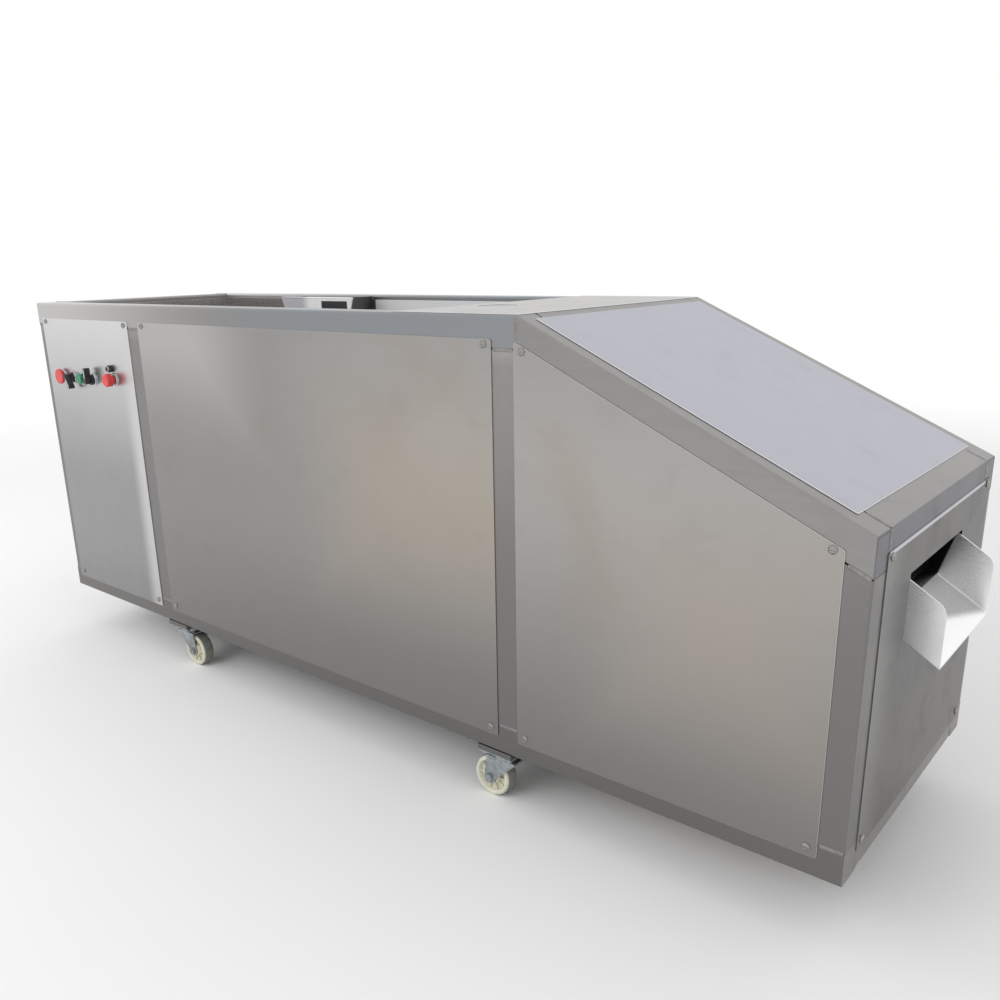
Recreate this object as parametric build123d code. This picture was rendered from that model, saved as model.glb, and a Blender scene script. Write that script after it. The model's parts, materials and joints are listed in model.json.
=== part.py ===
from build123d import *
import math
import os

# Plantain peeling machine on four swivel casters.
# While it is modelled, X runs from the feed end to the outlet end, Y from the control
# side to the back, and Z up from the underside of the frame. The written parts are
# moved so that the origin lies on the floor, under the middle of the machine's box.

# Frame of square tube
frame_length = 2000.0
frame_width = 560.0
frame_height = 720.0
slope_drop = 240.0
outlet_part_length = 530.0
control_part_length = 400.0
tube_size = 50.0
tube_wall = 2.0
tube_corner = 4.0
cap_thickness = 3.0
cap_clearance = 0.6
carrier_rail_depth = 260.0
deck_rail_depth = 230.0
head_rail_from_ridge = 250.0
motor_rail_gap = 150.0
motor_rail_from_ridge = 330.0

# Casters
wheel_radius = 37.5
wheel_width = 30.0
wheel_edge_round = 5.0
wheel_rim_depth = 8.5
wheel_rim_inset = 1.5
wheel_web_thickness = 14.0
wheel_hub_radius = 13.0
wheel_hub_proud = 1.0
axle_radius = 5.0
axle_head_radius = 8.0
axle_head_thickness = 5.0
running_clearance = 0.05
fork_side_gap = 1.5
fork_thickness = 3.0
fork_top_length = 62.0
fork_foot_radius = 12.0
fork_wheel_gap = 3.0
caster_trail = 25.0
cup_radius = 22.0
cup_height = 6.0
race_gap = 0.3
dish_radius = 25.0
dish_height = 7.7
kingpin_radius = 6.0
kingpin_head_radius = 9.0
kingpin_head_height = 4.5
caster_plate_size = 72.0
caster_plate_thickness = 3.0
caster_pad_height = 10.0
caster_from_post = 32.0
caster_from_side = 36.0

# Outer sheets and their screws
sheet_thickness = 1.5
sheet_corner = 4.0
end_margin = 20.0
post_lap = 4.0
top_reveal = 35.0
bottom_reveal = 30.0
outlet_reveal = 35.0
end_panel_front_reveal = 46.0
end_panel_back_reveal = 20.0
end_panel_top_reveal = 31.0
screw_from_side = 15.0
screw_from_bottom = 13.0
screw_from_top = 8.0
screw_radius = 2.5
screw_length = 8.0
screw_head_radius = 6.0
screw_head_height = 3.2
screw_slot_width = 1.2
screw_slot_depth = 1.0
screw_side_share = 0.275
screw_flat_share = 0.62
thread_clearance = 0.05

# Covers
cover_length = 255.0
cover_side_margin = 5.0
port_radius = 37.5
port_from_ridge = 195.0
port_from_front = 200.0
slope_cover_start_margin = 14.0
slope_cover_end_margin = 34.0
slope_cover_side_margin = 28.0

# Product line through the machine
line_offset = 4.0
belt_width = 200.0
belt_thickness = 3.0
belt_depth = 130.0
belt_side_gap = 8.0
cleat_height = 20.0
cleat_thickness = 5.0
cleat_pitch = 96.0
cleat_margin = 5.0
drum_radius = 35.0
drum_end_gap = 4.0
drum_clearance = 0.3
tail_drum_from_post = 50.0
head_drum_from_ridge = 120.0
carrier_side_thickness = 4.0
carrier_side_depth = 100.0
carrier_end_inset = 5.0
shaft_radius = 12.5
shaft_hole_clearance = 1.0
bearing_radius = 26.0
bearing_thickness = 14.0
shaft_stub = 6.0

# Feed area
tray_floor_depth = 70.0
tray_edge_depth = 10.0
liner_bend_depth = 55.0
liner_lip_height = 22.0
liner_lip_depth = 98.0
liner_end_gap = 2.0
hopper_before_post = 20.0
hopper_length = 260.0
hopper_taper = 26.0
hopper_width = 68.0
hopper_edge_depth = 2.0
mouth_length = 92.0
mouth_end_margin = 18.0
mouth_top_margin = 9.0
transfer_from_drum = 42.0
transfer_to_roller = 37.0
transfer_drop = 10.0
transfer_thickness = 2.0
transfer_below_belt = 5.0

# Peeling head
head_gap = 252.0
head_plate_thickness = 8.0
head_plate_before_ridge = 40.0
head_plate_past_rollers = 80.0
head_roof_gap = 12.0
head_member_gap = 6.0
feed_pair_from_ridge = 105.0
peel_pair_from_ridge = 215.0
pair_below_roof = 60.5
roller_radius = 30.0
roller_nip = 30.0
roller_end_gap = 4.0
rib_count = 12
rib_depth = 6.0
rib_width_share = 0.34
rib_root_share = 0.544
groove_count = 9
groove_depth = 4.0
groove_width = 8.0
gear_teeth = 20
gear_flank_steps = 4
gear_pressure_angle = 20.0
gear_tip_share = 0.92
gear_root_share = 1.2
gear_width = 15.0
gear_from_bearing = 4.0
gear_backlash = 0.35
sprocket_teeth = 18
sprocket_radius = 30.0
sprocket_tooth_depth = 4.0
sprocket_root_share = 0.62
sprocket_tip_share = 0.3
sprocket_thickness = 6.0
chain_thickness = 6.0
chain_width = 8.0
chain_clearance = 0.3
inner_chain_from_bearing = 17.0
chain_row_distance = 18.0
shaft_past_chain = 7.0
knife_bar_from_feed_pair = 55.0
knife_bar_size = 14.0
knife_below_roof = 26.0
knife_pitch = 45.0
knife_count = 3
knife_length = 62.0
knife_width = 24.0
knife_thickness = 2.0
knife_point = 12.0

# Outlet
slide_from_rollers = 37.0
slide_wall = 60.0
trough_inside_length = 40.0
trough_reach = 50.0
trough_wall = 85.0
trough_depth = 178.0
trough_angle = 32.0
trough_thickness = 2.0
trough_corner = 22.0
outlet_opening_depth = 85.0

# Peel pan
pan_from_ridge = 30.0
pan_from_last_post = 20.0
pan_depth = 44.0
pan_flange = 25.0
pan_side_gap = 4.0

# Drive
base_plate_length = 290.0
base_plate_width = 200.0
base_plate_before_rail = 20.0
base_plate_thickness = 8.0
gearbox_width = 110.0
gearbox_depth = 120.0
gearbox_height = 132.0
gearbox_from_chain = 37.0
gearbox_from_plate_edge = 10.0
gearbox_round = 12.0
gearbox_bore_depth = 60.0
output_before_drum = 20.0
output_above_base = 67.0
motor_radius = 58.0
motor_length = 190.0
motor_fan_length = 36.0
motor_fan_step = 3.0
motor_rib_count = 24
motor_rib_height = 5.0
motor_rib_width = 3.0
motor_rib_margin = 14.0
terminal_box_size = 70.0
terminal_box_height = 28.0

# Controls
control_depth = 170.0
control_radius = 11.0
control_hole_clearance = 0.15
red_button_share = 0.215
left_selector_share = 0.3325
green_button_share = 0.45
right_selector_share = 0.5675
stop_share = 0.805
stop_rise = 6.0
bezel_radius = 15.0
bezel_thickness = 3.5
bezel_round = 1.2
stem_radius = 8.5
stem_clearance = 0.3
stem_depth = 5.0
switch_collar_length = 12.0
switch_width = 28.0
switch_height = 44.0
switch_depth = 40.0
button_travel = 3.0
button_cap_radius = 11.5
button_cap_thickness = 6.0
red_cap_radius = 18.0
mushroom_radius = 14.5
mushroom_neck = 6.0
mushroom_thickness = 14.0
mushroom_round = 4.0
cap_round = 1.5
selector_base_radius = 12.0
selector_base_thickness = 4.0
lever_short_end = 9.0
lever_long_end = 28.0
lever_width = 8.0
lever_height = 14.0
left_selector_turn = 150.0
lamp_share = 0.785
lamp_rise = 30.0
lamp_radius = 8.0
lamp_thickness = 9.0
lamp_stem_radius = 6.0
lamp_stem_length = 10.0
lamp_lens_radius = 6.0
lamp_lens_height = 3.0
lamp_lens_round = 2.2

# Electrical box
box_post_gap = 30.0
box_front_y = 20.0
box_depth = 180.0
box_below_controls = 140.0
box_wall = 1.5
box_door_overlap = 8.0
din_rail_below_top = 160.0
din_rail_width = 35.0
din_rail_thickness = 7.0
din_rail_margin = 20.0
device_widths = (45.0, 45.0, 72.0, 36.0)
device_gap = 6.0
device_height = 85.0
device_depth = 78.0
device_step_height = 21.0
device_step_depth = 52.0
gland_x = 120.0
gland_height = 140.0
gland_radius = 12.0
gland_bore = 7.0
gland_nut_radius = 16.0
gland_nut_thickness = 6.0
gland_length = 26.0
gland_inner_length = 14.0

# Places that follow from the sizes above
control_post_x = control_part_length
ridge_x = frame_length - outlet_part_length
low_end_height = frame_height - slope_drop
slope_run = frame_length - ridge_x
slope_fall = slope_drop / slope_run
slope_angle = math.atan(slope_fall)
slope_length = math.hypot(slope_run, slope_drop)
slope_rail_depth = tube_size / math.cos(slope_angle)
slope_wall = tube_wall / math.cos(slope_angle)
mid_post_x = ridge_x - tube_size
last_post_x = frame_length - tube_size
half_tube = tube_size / 2
inner_size = tube_size - 2 * tube_wall
back_inner_y = frame_width - tube_size
rail_middles = (half_tube, frame_width - half_tube)

pad_bottom = -caster_pad_height
plate_bottom = pad_bottom - caster_plate_thickness
dish_bottom = plate_bottom - dish_height
cup_top = dish_bottom - race_gap
crown_top = cup_top - cup_height
crown_bottom = crown_top - fork_thickness
axle_z = crown_bottom - fork_wheel_gap - wheel_radius
floor_z = axle_z - wheel_radius
fork_inner = wheel_width / 2 + fork_side_gap
fork_outer = fork_inner + fork_thickness
caster_places = {
    "front_feed": (control_post_x + half_tube + caster_from_post, caster_from_side, 1),
    "back_feed": (control_post_x + half_tube + caster_from_post, frame_width - caster_from_side, 1),
    "front_outlet": (mid_post_x + half_tube - caster_from_post, caster_from_side, -1),
    "back_outlet": (mid_post_x + half_tube - caster_from_post, frame_width - caster_from_side, -1),
}

carrier_rail_top = frame_height - carrier_rail_depth
deck_rail_base = low_end_height - deck_rail_depth
head_rail_x = ridge_x + head_rail_from_ridge
motor_rail_x = ridge_x - motor_rail_from_ridge
cover_start_x = ridge_x - cover_length
port_x = ridge_x - port_from_ridge
line_y = frame_width / 2 - line_offset
belt_top = frame_height - belt_depth
tail_drum_x = control_post_x + tail_drum_from_post
head_drum_x = ridge_x - head_drum_from_ridge
carrier_side_top = frame_height - carrier_side_depth
tray_floor = frame_height - tray_floor_depth
tray_top = frame_height - tray_edge_depth
liner_bend_height = frame_height - liner_bend_depth
liner_lip_top = frame_height - liner_lip_depth
hopper_start_x = control_post_x - hopper_before_post
hopper_end_x = hopper_start_x + hopper_length
hopper_top = frame_height - hopper_edge_depth
mouth_end_x = hopper_end_x - mouth_end_margin
feed_pair_x = ridge_x + feed_pair_from_ridge
peel_pair_x = ridge_x + peel_pair_from_ridge
knife_bar_x = feed_pair_x + knife_bar_from_feed_pair
head_plate_start_x = ridge_x - head_plate_before_ridge
head_plate_end_x = peel_pair_x + head_plate_past_rollers
trough_start_x = frame_length - trough_inside_length
outlet_opening_top = low_end_height - outlet_opening_depth

drum_z = belt_top - belt_thickness - drum_clearance - drum_radius
belt_inner_radius = drum_radius + drum_clearance
carrier_gap = belt_width + 2 * belt_side_gap
carrier_front = line_y - carrier_gap / 2
carrier_back = line_y + carrier_gap / 2
carrier_front_outer = carrier_front - carrier_side_thickness
carrier_back_outer = carrier_back + carrier_side_thickness
head_front = line_y - head_gap / 2
head_back = line_y + head_gap / 2
head_front_outer = head_front - head_plate_thickness
head_back_outer = head_back + head_plate_thickness
pair_distance = 2 * roller_radius + roller_nip
gear_module = pair_distance / gear_teeth
gear_front_y = head_back_outer + bearing_thickness + gear_from_bearing
shaft_back_end = gear_front_y + gear_width + shaft_stub
inner_chain_y = head_front_outer - bearing_thickness - inner_chain_from_bearing
outer_chain_y = inner_chain_y - chain_row_distance
shaft_front_end = outer_chain_y - shaft_past_chain
gearbox_front_y = outer_chain_y + gearbox_from_chain
output_x = head_drum_x - output_before_drum
output_z = base_plate_thickness + tube_size + output_above_base
control_height = frame_height - control_depth
red_button_x = control_part_length * red_button_share
left_selector_x = control_part_length * left_selector_share
green_button_x = control_part_length * green_button_share
right_selector_x = control_part_length * right_selector_share
stop_x = control_part_length * stop_share
stop_height = control_height + stop_rise
lamp_x = control_part_length * lamp_share
lamp_height = control_height + lamp_rise
control_places = (
    (red_button_x, control_height),
    (left_selector_x, control_height),
    (green_button_x, control_height),
    (right_selector_x, control_height),
    (stop_x, stop_height),
)

# The box of the whole machine, which sets the origin
knob_reach = sheet_thickness + bezel_thickness + mushroom_neck + mushroom_thickness
low_x = -sheet_thickness - screw_head_height
high_x = frame_length + trough_reach
low_y = -knob_reach
high_y = frame_width + sheet_thickness + gland_nut_thickness + gland_length
origin_x = (low_x + high_x) / 2
origin_y = (low_y + high_y) / 2

X_WAY = (1, 0, 0)
Y_WAY = (0, 1, 0)
Z_WAY = (0, 0, 1)
SECTION_PLANES = {"X": Plane.YZ, "Y": Plane.XZ, "Z": Plane.XY}


def roof(x):
    """Height of the sloping top at x."""
    return frame_height - (x - ridge_x) * slope_fall


def trough_base(x):
    """Height of the underside of the outlet trough at x."""
    return low_end_height - trough_depth - (x - frame_length) * math.tan(math.radians(trough_angle))


def block(x, y, z):
    """Box between the low and high value of each axis."""
    size = [high - low for low, high in (x, y, z)]
    return Pos(x[0], y[0], z[0]) * Box(*size, align=(Align.MIN, Align.MIN, Align.MIN))


def rod(start, way, length, radius):
    """Round bar from a point along a direction."""
    plane = Plane(origin=start, z_dir=way)
    return plane * Cylinder(radius, length, align=(Align.CENTER, Align.CENTER, Align.MIN))


def ring(start, way, length, radius, bore):
    """Round bar with a hole through it."""
    return rod(start, way, length, radius) - rod(start, way, length, bore)


def slab(face, normal, low, high):
    """A flat outline given thickness between two places on the normal axis."""
    offset = -high if normal == "Y" else low
    return extrude(SECTION_PLANES[normal].offset(offset) * face, amount=high - low)


def outline(points):
    """Closed flat face through the points."""
    return make_face(Polyline(*points, close=True))


def prism(points, normal, low, high):
    """A many-sided bar along the normal axis."""
    return slab(outline(points), normal, low, high)


def lathe(points):
    """Solid turned about Z from points of radius and height."""
    return revolve(Plane.XZ * outline(points), Axis.Z)


def square_tube(start, way, length):
    """Hollow frame tube whose section is centred on the start point."""
    side = X_WAY if way == Y_WAY else Y_WAY
    plane = Plane(origin=start, x_dir=side, z_dir=way)
    outer = RectangleRounded(tube_size, tube_size, tube_corner)
    inner = RectangleRounded(inner_size, inner_size, tube_corner - tube_wall)
    return extrude(plane * (outer - inner), amount=length)


def tube_cap(start, way):
    """Closing plate that fits inside a tube's end."""
    plane = Plane(origin=start, x_dir=Y_WAY, z_dir=way)
    face = RectangleRounded(inner_size, inner_size, tube_corner - tube_wall)
    return extrude(plane * face, amount=cap_thickness)


def screw():
    """Round-headed screw along Z with the underside of its head at the origin."""
    profile = [
        (0, -screw_length),
        (screw_radius, -screw_length),
        (screw_radius, 0),
        (screw_head_radius, 0),
        (screw_head_radius, screw_head_height * screw_side_share),
        (screw_head_radius * screw_flat_share, screw_head_height),
        (0, screw_head_height),
    ]
    slot = block(
        (-screw_head_radius, screw_head_radius),
        (-screw_slot_width / 2, screw_slot_width / 2),
        (screw_head_height - screw_slot_depth, screw_head_height),
    )
    return lathe(profile) - slot


def toothed_outline(teeth, root, tip, root_share, tip_share):
    """Wheel outline with straight-sided teeth; shares are of half a tooth's pitch."""
    pitch = 2 * math.pi / teeth
    points = []
    for index in range(teeth):
        middle = index * pitch
        corners = ((root, -root_share), (tip, -tip_share), (tip, tip_share), (root, root_share))
        for radius, share in corners:
            angle = middle + share * pitch / 2
            points.append((radius * math.cos(angle), radius * math.sin(angle)))
    return outline(points)


def gear_outline(teeth, module, turn):
    """Spur gear outline with involute flanks, turned by an angle in radians."""
    pressure = math.radians(gear_pressure_angle)
    pitch_radius = module * teeth / 2
    base_radius = pitch_radius * math.cos(pressure)
    tip_radius = pitch_radius + module * gear_tip_share
    root_radius = pitch_radius - module * gear_root_share
    slack = gear_backlash / pitch_radius / 2
    start_radius = max(base_radius, root_radius)
    flank = []
    for index in range(gear_flank_steps + 1):
        radius = start_radius + (tip_radius - start_radius) * index / gear_flank_steps
        rolling = math.acos(min(1, base_radius / radius))
        involute = math.tan(rolling) - rolling
        half = math.pi / (2 * teeth) + math.tan(pressure) - pressure - involute - slack
        flank.append((radius, half))
    profile = [(root_radius, flank[0][1])] + flank if start_radius > root_radius else flank
    points = []
    for tooth in range(teeth):
        middle = turn + 2 * math.pi * tooth / teeth
        for radius, half in profile:
            points.append((radius * math.cos(middle - half), radius * math.sin(middle - half)))
        for radius, half in reversed(profile):
            points.append((radius * math.cos(middle + half), radius * math.sin(middle + half)))
    return outline(points)


def hexagon(radius):
    """Face of a hexagonal bolt head or nut."""
    return RegularPolygon(radius, 6)


nodes = {}


def keep(name, *solids):
    """Record a node's solids."""
    nodes[name] = list(solids)


# Sheets: each is made with the places of its screws


def sheet_panel(span, base, top, normal, low, high):
    """Sheet with rounded corners whose top edge may slope, and its screw places."""
    start, end = span
    face = outline([(start, base), (end, base), (end, top(end)), (start, top(start))])
    face = fillet(face.vertices(), sheet_corner)
    places = []
    for across in (start + screw_from_side, end - screw_from_side):
        places.append((across, base + screw_from_bottom))
        places.append((across, top(across) - screw_from_top))
    return slab(face, normal, low, high), places


def level_edge(x):
    return frame_height - top_reveal


def slope_edge(x):
    return min(level_edge(x), roof(x) - top_reveal / math.cos(slope_angle))


def end_edge(y):
    return low_end_height - end_panel_top_reveal


control_span = (end_margin, control_post_x + post_lap)
middle_span = (control_post_x + tube_size - post_lap, mid_post_x + post_lap)
slope_span = (ridge_x - post_lap, frame_length - outlet_reveal)
side_spans = (control_span, middle_span, slope_span)
front_names = ("control_panel", "front_panel", "front_slope_panel")
back_names = ("back_feed_panel", "back_panel", "back_slope_panel")

screw_places = []


def side_sheets():
    """The three sheets of each long side, with their screw places."""
    sheets = {}
    sides = (
        (front_names, -sheet_thickness, 0, (0, -1, 0)),
        (back_names, frame_width, frame_width + sheet_thickness, (0, 1, 0)),
    )
    for names, low, high, way in sides:
        outer = low if way[1] < 0 else high
        for name, span in zip(names, side_spans):
            top = slope_edge if span == slope_span else level_edge
            sheets[name], places = sheet_panel(span, bottom_reveal, top, "Y", low, high)
            screw_places.extend(((x, outer, z), way) for x, z in places)
    return sheets


def end_sheets():
    """The sheet of each end, with its screw places."""
    feed_span = (end_margin, frame_width - end_margin)
    outlet_span = (end_panel_front_reveal, frame_width - end_panel_back_reveal)
    feed, places = sheet_panel(feed_span, bottom_reveal, level_edge, "X", -sheet_thickness, 0)
    screw_places.extend(((-sheet_thickness, y, z), (-1, 0, 0)) for y, z in places)
    outer = frame_length + sheet_thickness
    outlet, places = sheet_panel(outlet_span, bottom_reveal, end_edge, "X", frame_length, outer)
    screw_places.extend(((outer, y, z), (1, 0, 0)) for y, z in places)
    return feed, outlet


sheets = side_sheets()
feed_end_sheet, outlet_end_sheet = end_sheets()


def screw_holes():
    """All screw shanks as cutting bars."""
    bars = []
    for place, way in screw_places:
        inward = tuple(-part for part in way)
        bars.append(rod(place, inward, screw_length, screw_radius + thread_clearance))
    return bars


def drilled(solid):
    """The solid with the holes of the screws that reach it."""
    box = solid.bounding_box()
    for bar in screw_holes():
        middle = bar.center()
        inside = all(
            low - screw_length < value < high + screw_length
            for low, value, high in zip(box.min, middle, box.max)
        )
        if inside:
            solid = solid - bar
    return solid


def make_frame():
    keep("bottom_rails", *[
        drilled(square_tube((0, y, half_tube), X_WAY, frame_length)) for y in rail_middles
    ])
    keep("top_rails", *[
        drilled(square_tube((0, y, frame_height - half_tube), X_WAY, ridge_x)) for y in rail_middles
    ])
    cosine, sine = math.cos(slope_angle), math.sin(slope_angle)
    start_x = ridge_x - sine * half_tube - cosine * tube_size
    start_z = frame_height - cosine * half_tube + sine * tube_size
    window = block((ridge_x, frame_length), (0, frame_width), (0, frame_height))
    slope_rails = []
    for y in rail_middles:
        rail = square_tube((start_x, y, start_z), (cosine, 0, -sine), slope_length + 2 * tube_size)
        slope_rails.append(drilled(rail & window))
    keep("slope_rails", *slope_rails)

    posts = []
    post_height = frame_height - 2 * tube_size
    beyond = frame_length + tube_size
    above = prism(
        [
            (mid_post_x, roof(mid_post_x) - slope_rail_depth),
            (beyond, roof(beyond) - slope_rail_depth),
            (beyond, frame_height + tube_size),
            (mid_post_x, frame_height + tube_size),
        ],
        "Y", 0, frame_width,
    )
    for y in rail_middles:
        for x in (0, control_post_x, mid_post_x):
            posts.append(square_tube((x + half_tube, y, tube_size), Z_WAY, post_height))
        last = square_tube((last_post_x + half_tube, y, tube_size), Z_WAY, low_end_height - tube_size)
        posts.append(last - above)
    keep("posts", *posts)

    cross_places = (
        (0, 0),
        (0, frame_height - tube_size),
        (mid_post_x, frame_height - tube_size),
        (last_post_x, 0),
        (control_post_x, carrier_rail_top - tube_size),
        (mid_post_x, carrier_rail_top - tube_size),
        (motor_rail_x, 0),
        (motor_rail_x + tube_size + motor_rail_gap, 0),
        (head_rail_x, deck_rail_base),
    )
    inner_width = back_inner_y - tube_size
    members = []
    for x, z in cross_places:
        members.append(drilled(square_tube((x + half_tube, tube_size, z + half_tube), Y_WAY, inner_width)))
    for y in rail_middles:
        start = (ridge_x, y, deck_rail_base + half_tube)
        members.append(square_tube(start, X_WAY, last_post_x - ridge_x))
    for x in (ridge_x, last_post_x):
        members.append(drilled(sloping_member(x)))
    keep("cross_members", *members)

    caps = []
    for y in rail_middles:
        caps.append(tube_cap((0, y, half_tube), X_WAY))
        caps.append(tube_cap((frame_length, y, half_tube), (-1, 0, 0)))
        caps.append(tube_cap((0, y, frame_height - half_tube), X_WAY))
        inset = half_tube - tube_wall - cap_clearance
        near = frame_length - cap_thickness
        drop = slope_wall + cap_clearance
        points = [
            (near, roof(near) - drop),
            (frame_length, roof(frame_length) - drop),
            (frame_length, roof(frame_length) - slope_rail_depth + drop),
            (near, roof(near) - slope_rail_depth + drop),
        ]
        caps.append(prism(points, "Y", y - inset, y + inset))
    keep("tube_end_caps", *[drilled(cap) for cap in caps])


def sloping_member(x):
    """Folded hollow cross member whose top lies in the slope."""
    far = x + tube_size
    outer = [(x, roof(x)), (far, roof(far)), (far, roof(far) - tube_size), (x, roof(x) - tube_size)]
    low, high = x + tube_wall, far - tube_wall
    inner = [
        (low, roof(low) - slope_wall),
        (high, roof(high) - slope_wall),
        (high, roof(high) - tube_size + slope_wall),
        (low, roof(low) - tube_size + slope_wall),
    ]
    return prism(outer, "Y", tube_size, back_inner_y) - prism(inner, "Y", tube_size, back_inner_y)


def make_casters():
    half_plate = caster_plate_size / 2
    pads, plates = [], []
    for name, (x, y, side) in caster_places.items():
        across = (x - half_plate, x + half_plate)
        along = (y - half_plate, y + half_plate)
        pads.append(block(across, along, (pad_bottom, 0)))
        plate = block(across, along, (plate_bottom, pad_bottom))
        plate += rod((x, y, dish_bottom), Z_WAY, dish_height, dish_radius)
        pin_bottom = crown_bottom - race_gap - kingpin_head_height
        plate += rod((x, y, pin_bottom), Z_WAY, dish_bottom - pin_bottom, kingpin_radius)
        plate += rod((x, y, pin_bottom), Z_WAY, kingpin_head_height, kingpin_head_radius)
        plates.append(plate)
        keep(f"caster_fork_{name}", *caster_fork(x, y, side))
        keep(f"caster_wheel_{name}", caster_wheel(x + side * caster_trail, y))
    keep("caster_pads", *pads)
    keep("caster_plates", *plates)


def caster_fork(x, y, side):
    """Fork with its turning cup, and the axle bolt through its feet."""
    axle_x = x + side * caster_trail
    half_top = fork_top_length / 2
    crown = block((x - half_top, x + half_top), (y - fork_outer, y + fork_outer), (crown_bottom, crown_top))
    fork = crown + rod((x, y, crown_top), Z_WAY, cup_height, cup_radius)
    points = [
        (x - half_top, crown_bottom),
        (x + half_top, crown_bottom),
        (axle_x + fork_foot_radius, axle_z),
        (axle_x - fork_foot_radius, axle_z),
    ]
    leg = outline(points) + Pos(axle_x, axle_z) * Circle(fork_foot_radius)
    for low in (y - fork_outer, y + fork_inner):
        fork += slab(leg, "Y", low, low + fork_thickness)
    kingpin_bore = kingpin_radius + running_clearance
    fork -= rod((x, y, crown_bottom), Z_WAY, fork_thickness + cup_height, kingpin_bore)
    bore = axle_radius + running_clearance
    fork -= rod((axle_x, y - fork_outer, axle_z), Y_WAY, 2 * fork_outer, bore)
    bolt = rod((axle_x, y - fork_outer, axle_z), Y_WAY, 2 * fork_outer, axle_radius)
    head = Pos(axle_x, axle_z) * hexagon(axle_head_radius)
    bolt += slab(head, "Y", y - fork_outer - axle_head_thickness, y - fork_outer)
    bolt += slab(head, "Y", y + fork_outer, y + fork_outer + axle_head_thickness)
    return fork, bolt


def caster_wheel(x, y):
    """Nylon wheel with a rounded tread, a thinner web and a hub."""
    bore = axle_radius + running_clearance
    half_hub = wheel_width / 2 + wheel_hub_proud
    half_tread = wheel_width / 2
    half_web = wheel_web_thickness / 2
    half_rim = half_tread - wheel_rim_inset
    rim = wheel_radius - wheel_rim_depth
    side = [
        (bore, half_hub),
        (wheel_hub_radius, half_hub),
        (wheel_hub_radius, half_web),
        (rim, half_web),
        (rim, half_rim),
        (rim + wheel_rim_inset, half_tread),
        (wheel_radius, half_tread),
    ]
    points = [(r, -h) for r, h in side] + list(reversed(side))
    face = outline(points)
    tread = face.vertices().filter_by(lambda corner: corner.X > wheel_radius - wheel_rim_inset)
    face = fillet(tread, wheel_edge_round)
    wheel = revolve(Plane.XZ * face, Axis.Z)
    return Plane(origin=(x, y, axle_z), z_dir=Y_WAY) * wheel


def make_panels():
    control = sheets["control_panel"]
    for x, z in control_places:
        place = (x, -sheet_thickness, z)
        control -= rod(place, Y_WAY, sheet_thickness, control_radius + control_hole_clearance)
    hole = lamp_stem_radius + control_hole_clearance
    control -= rod((lamp_x, -sheet_thickness, lamp_height), Y_WAY, sheet_thickness, hole)
    sheets["control_panel"] = control
    gland_place = (gland_x, frame_width, gland_height)
    sheets["back_feed_panel"] -= rod(gland_place, Y_WAY, sheet_thickness, gland_radius + running_clearance)
    for name, sheet in sheets.items():
        keep(name, drilled(sheet))
    keep("feed_end_panel", drilled(feed_end_sheet))
    outer = frame_length + sheet_thickness
    opening_height = (trough_base(outer), outlet_opening_top)
    opening = block((frame_length, outer), (head_front, head_back), opening_height)
    keep("outlet_end_panel", drilled(outlet_end_sheet - opening))
    keep("panel_screws", *[
        Plane(origin=place, x_dir=(X_WAY if way[1] else Y_WAY), z_dir=way) * screw()
        for place, way in screw_places
    ])

    cover = block(
        (cover_start_x, ridge_x),
        (cover_side_margin, frame_width - cover_side_margin),
        (frame_height, frame_height + sheet_thickness),
    )
    port = rod((port_x, port_from_front, frame_height), Z_WAY, sheet_thickness, port_radius)
    keep("top_cover", cover - port)

    cosine = math.cos(slope_angle)
    start = slope_cover_start_margin / cosine
    end = (slope_run - slope_cover_end_margin) / cosine
    margin = slope_cover_side_margin
    face = outline([
        (start, margin), (end, margin), (end, frame_width - margin), (start, frame_width - margin)
    ])
    face = fillet(face.vertices(), sheet_corner)
    slope_plane = Plane(
        origin=(ridge_x, 0, frame_height),
        x_dir=(cosine, 0, -math.sin(slope_angle)),
        z_dir=(math.sin(slope_angle), 0, cosine),
    )
    keep("slope_cover", extrude(slope_plane * face, amount=sheet_thickness))


def liner_sheet(rail_y, side_y, way):
    """Points of a lining sheet from a top rail down to the conveyor's side."""
    t = sheet_thickness * way
    return [
        (rail_y, tray_top),
        (rail_y, liner_bend_height),
        (side_y - t, liner_lip_top),
        (side_y - t, liner_lip_top - liner_lip_height),
        (side_y, liner_lip_top - liner_lip_height),
        (side_y, liner_lip_top + sheet_thickness),
        (rail_y + t, liner_bend_height + sheet_thickness),
        (rail_y + t, tray_top),
    ]


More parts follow.
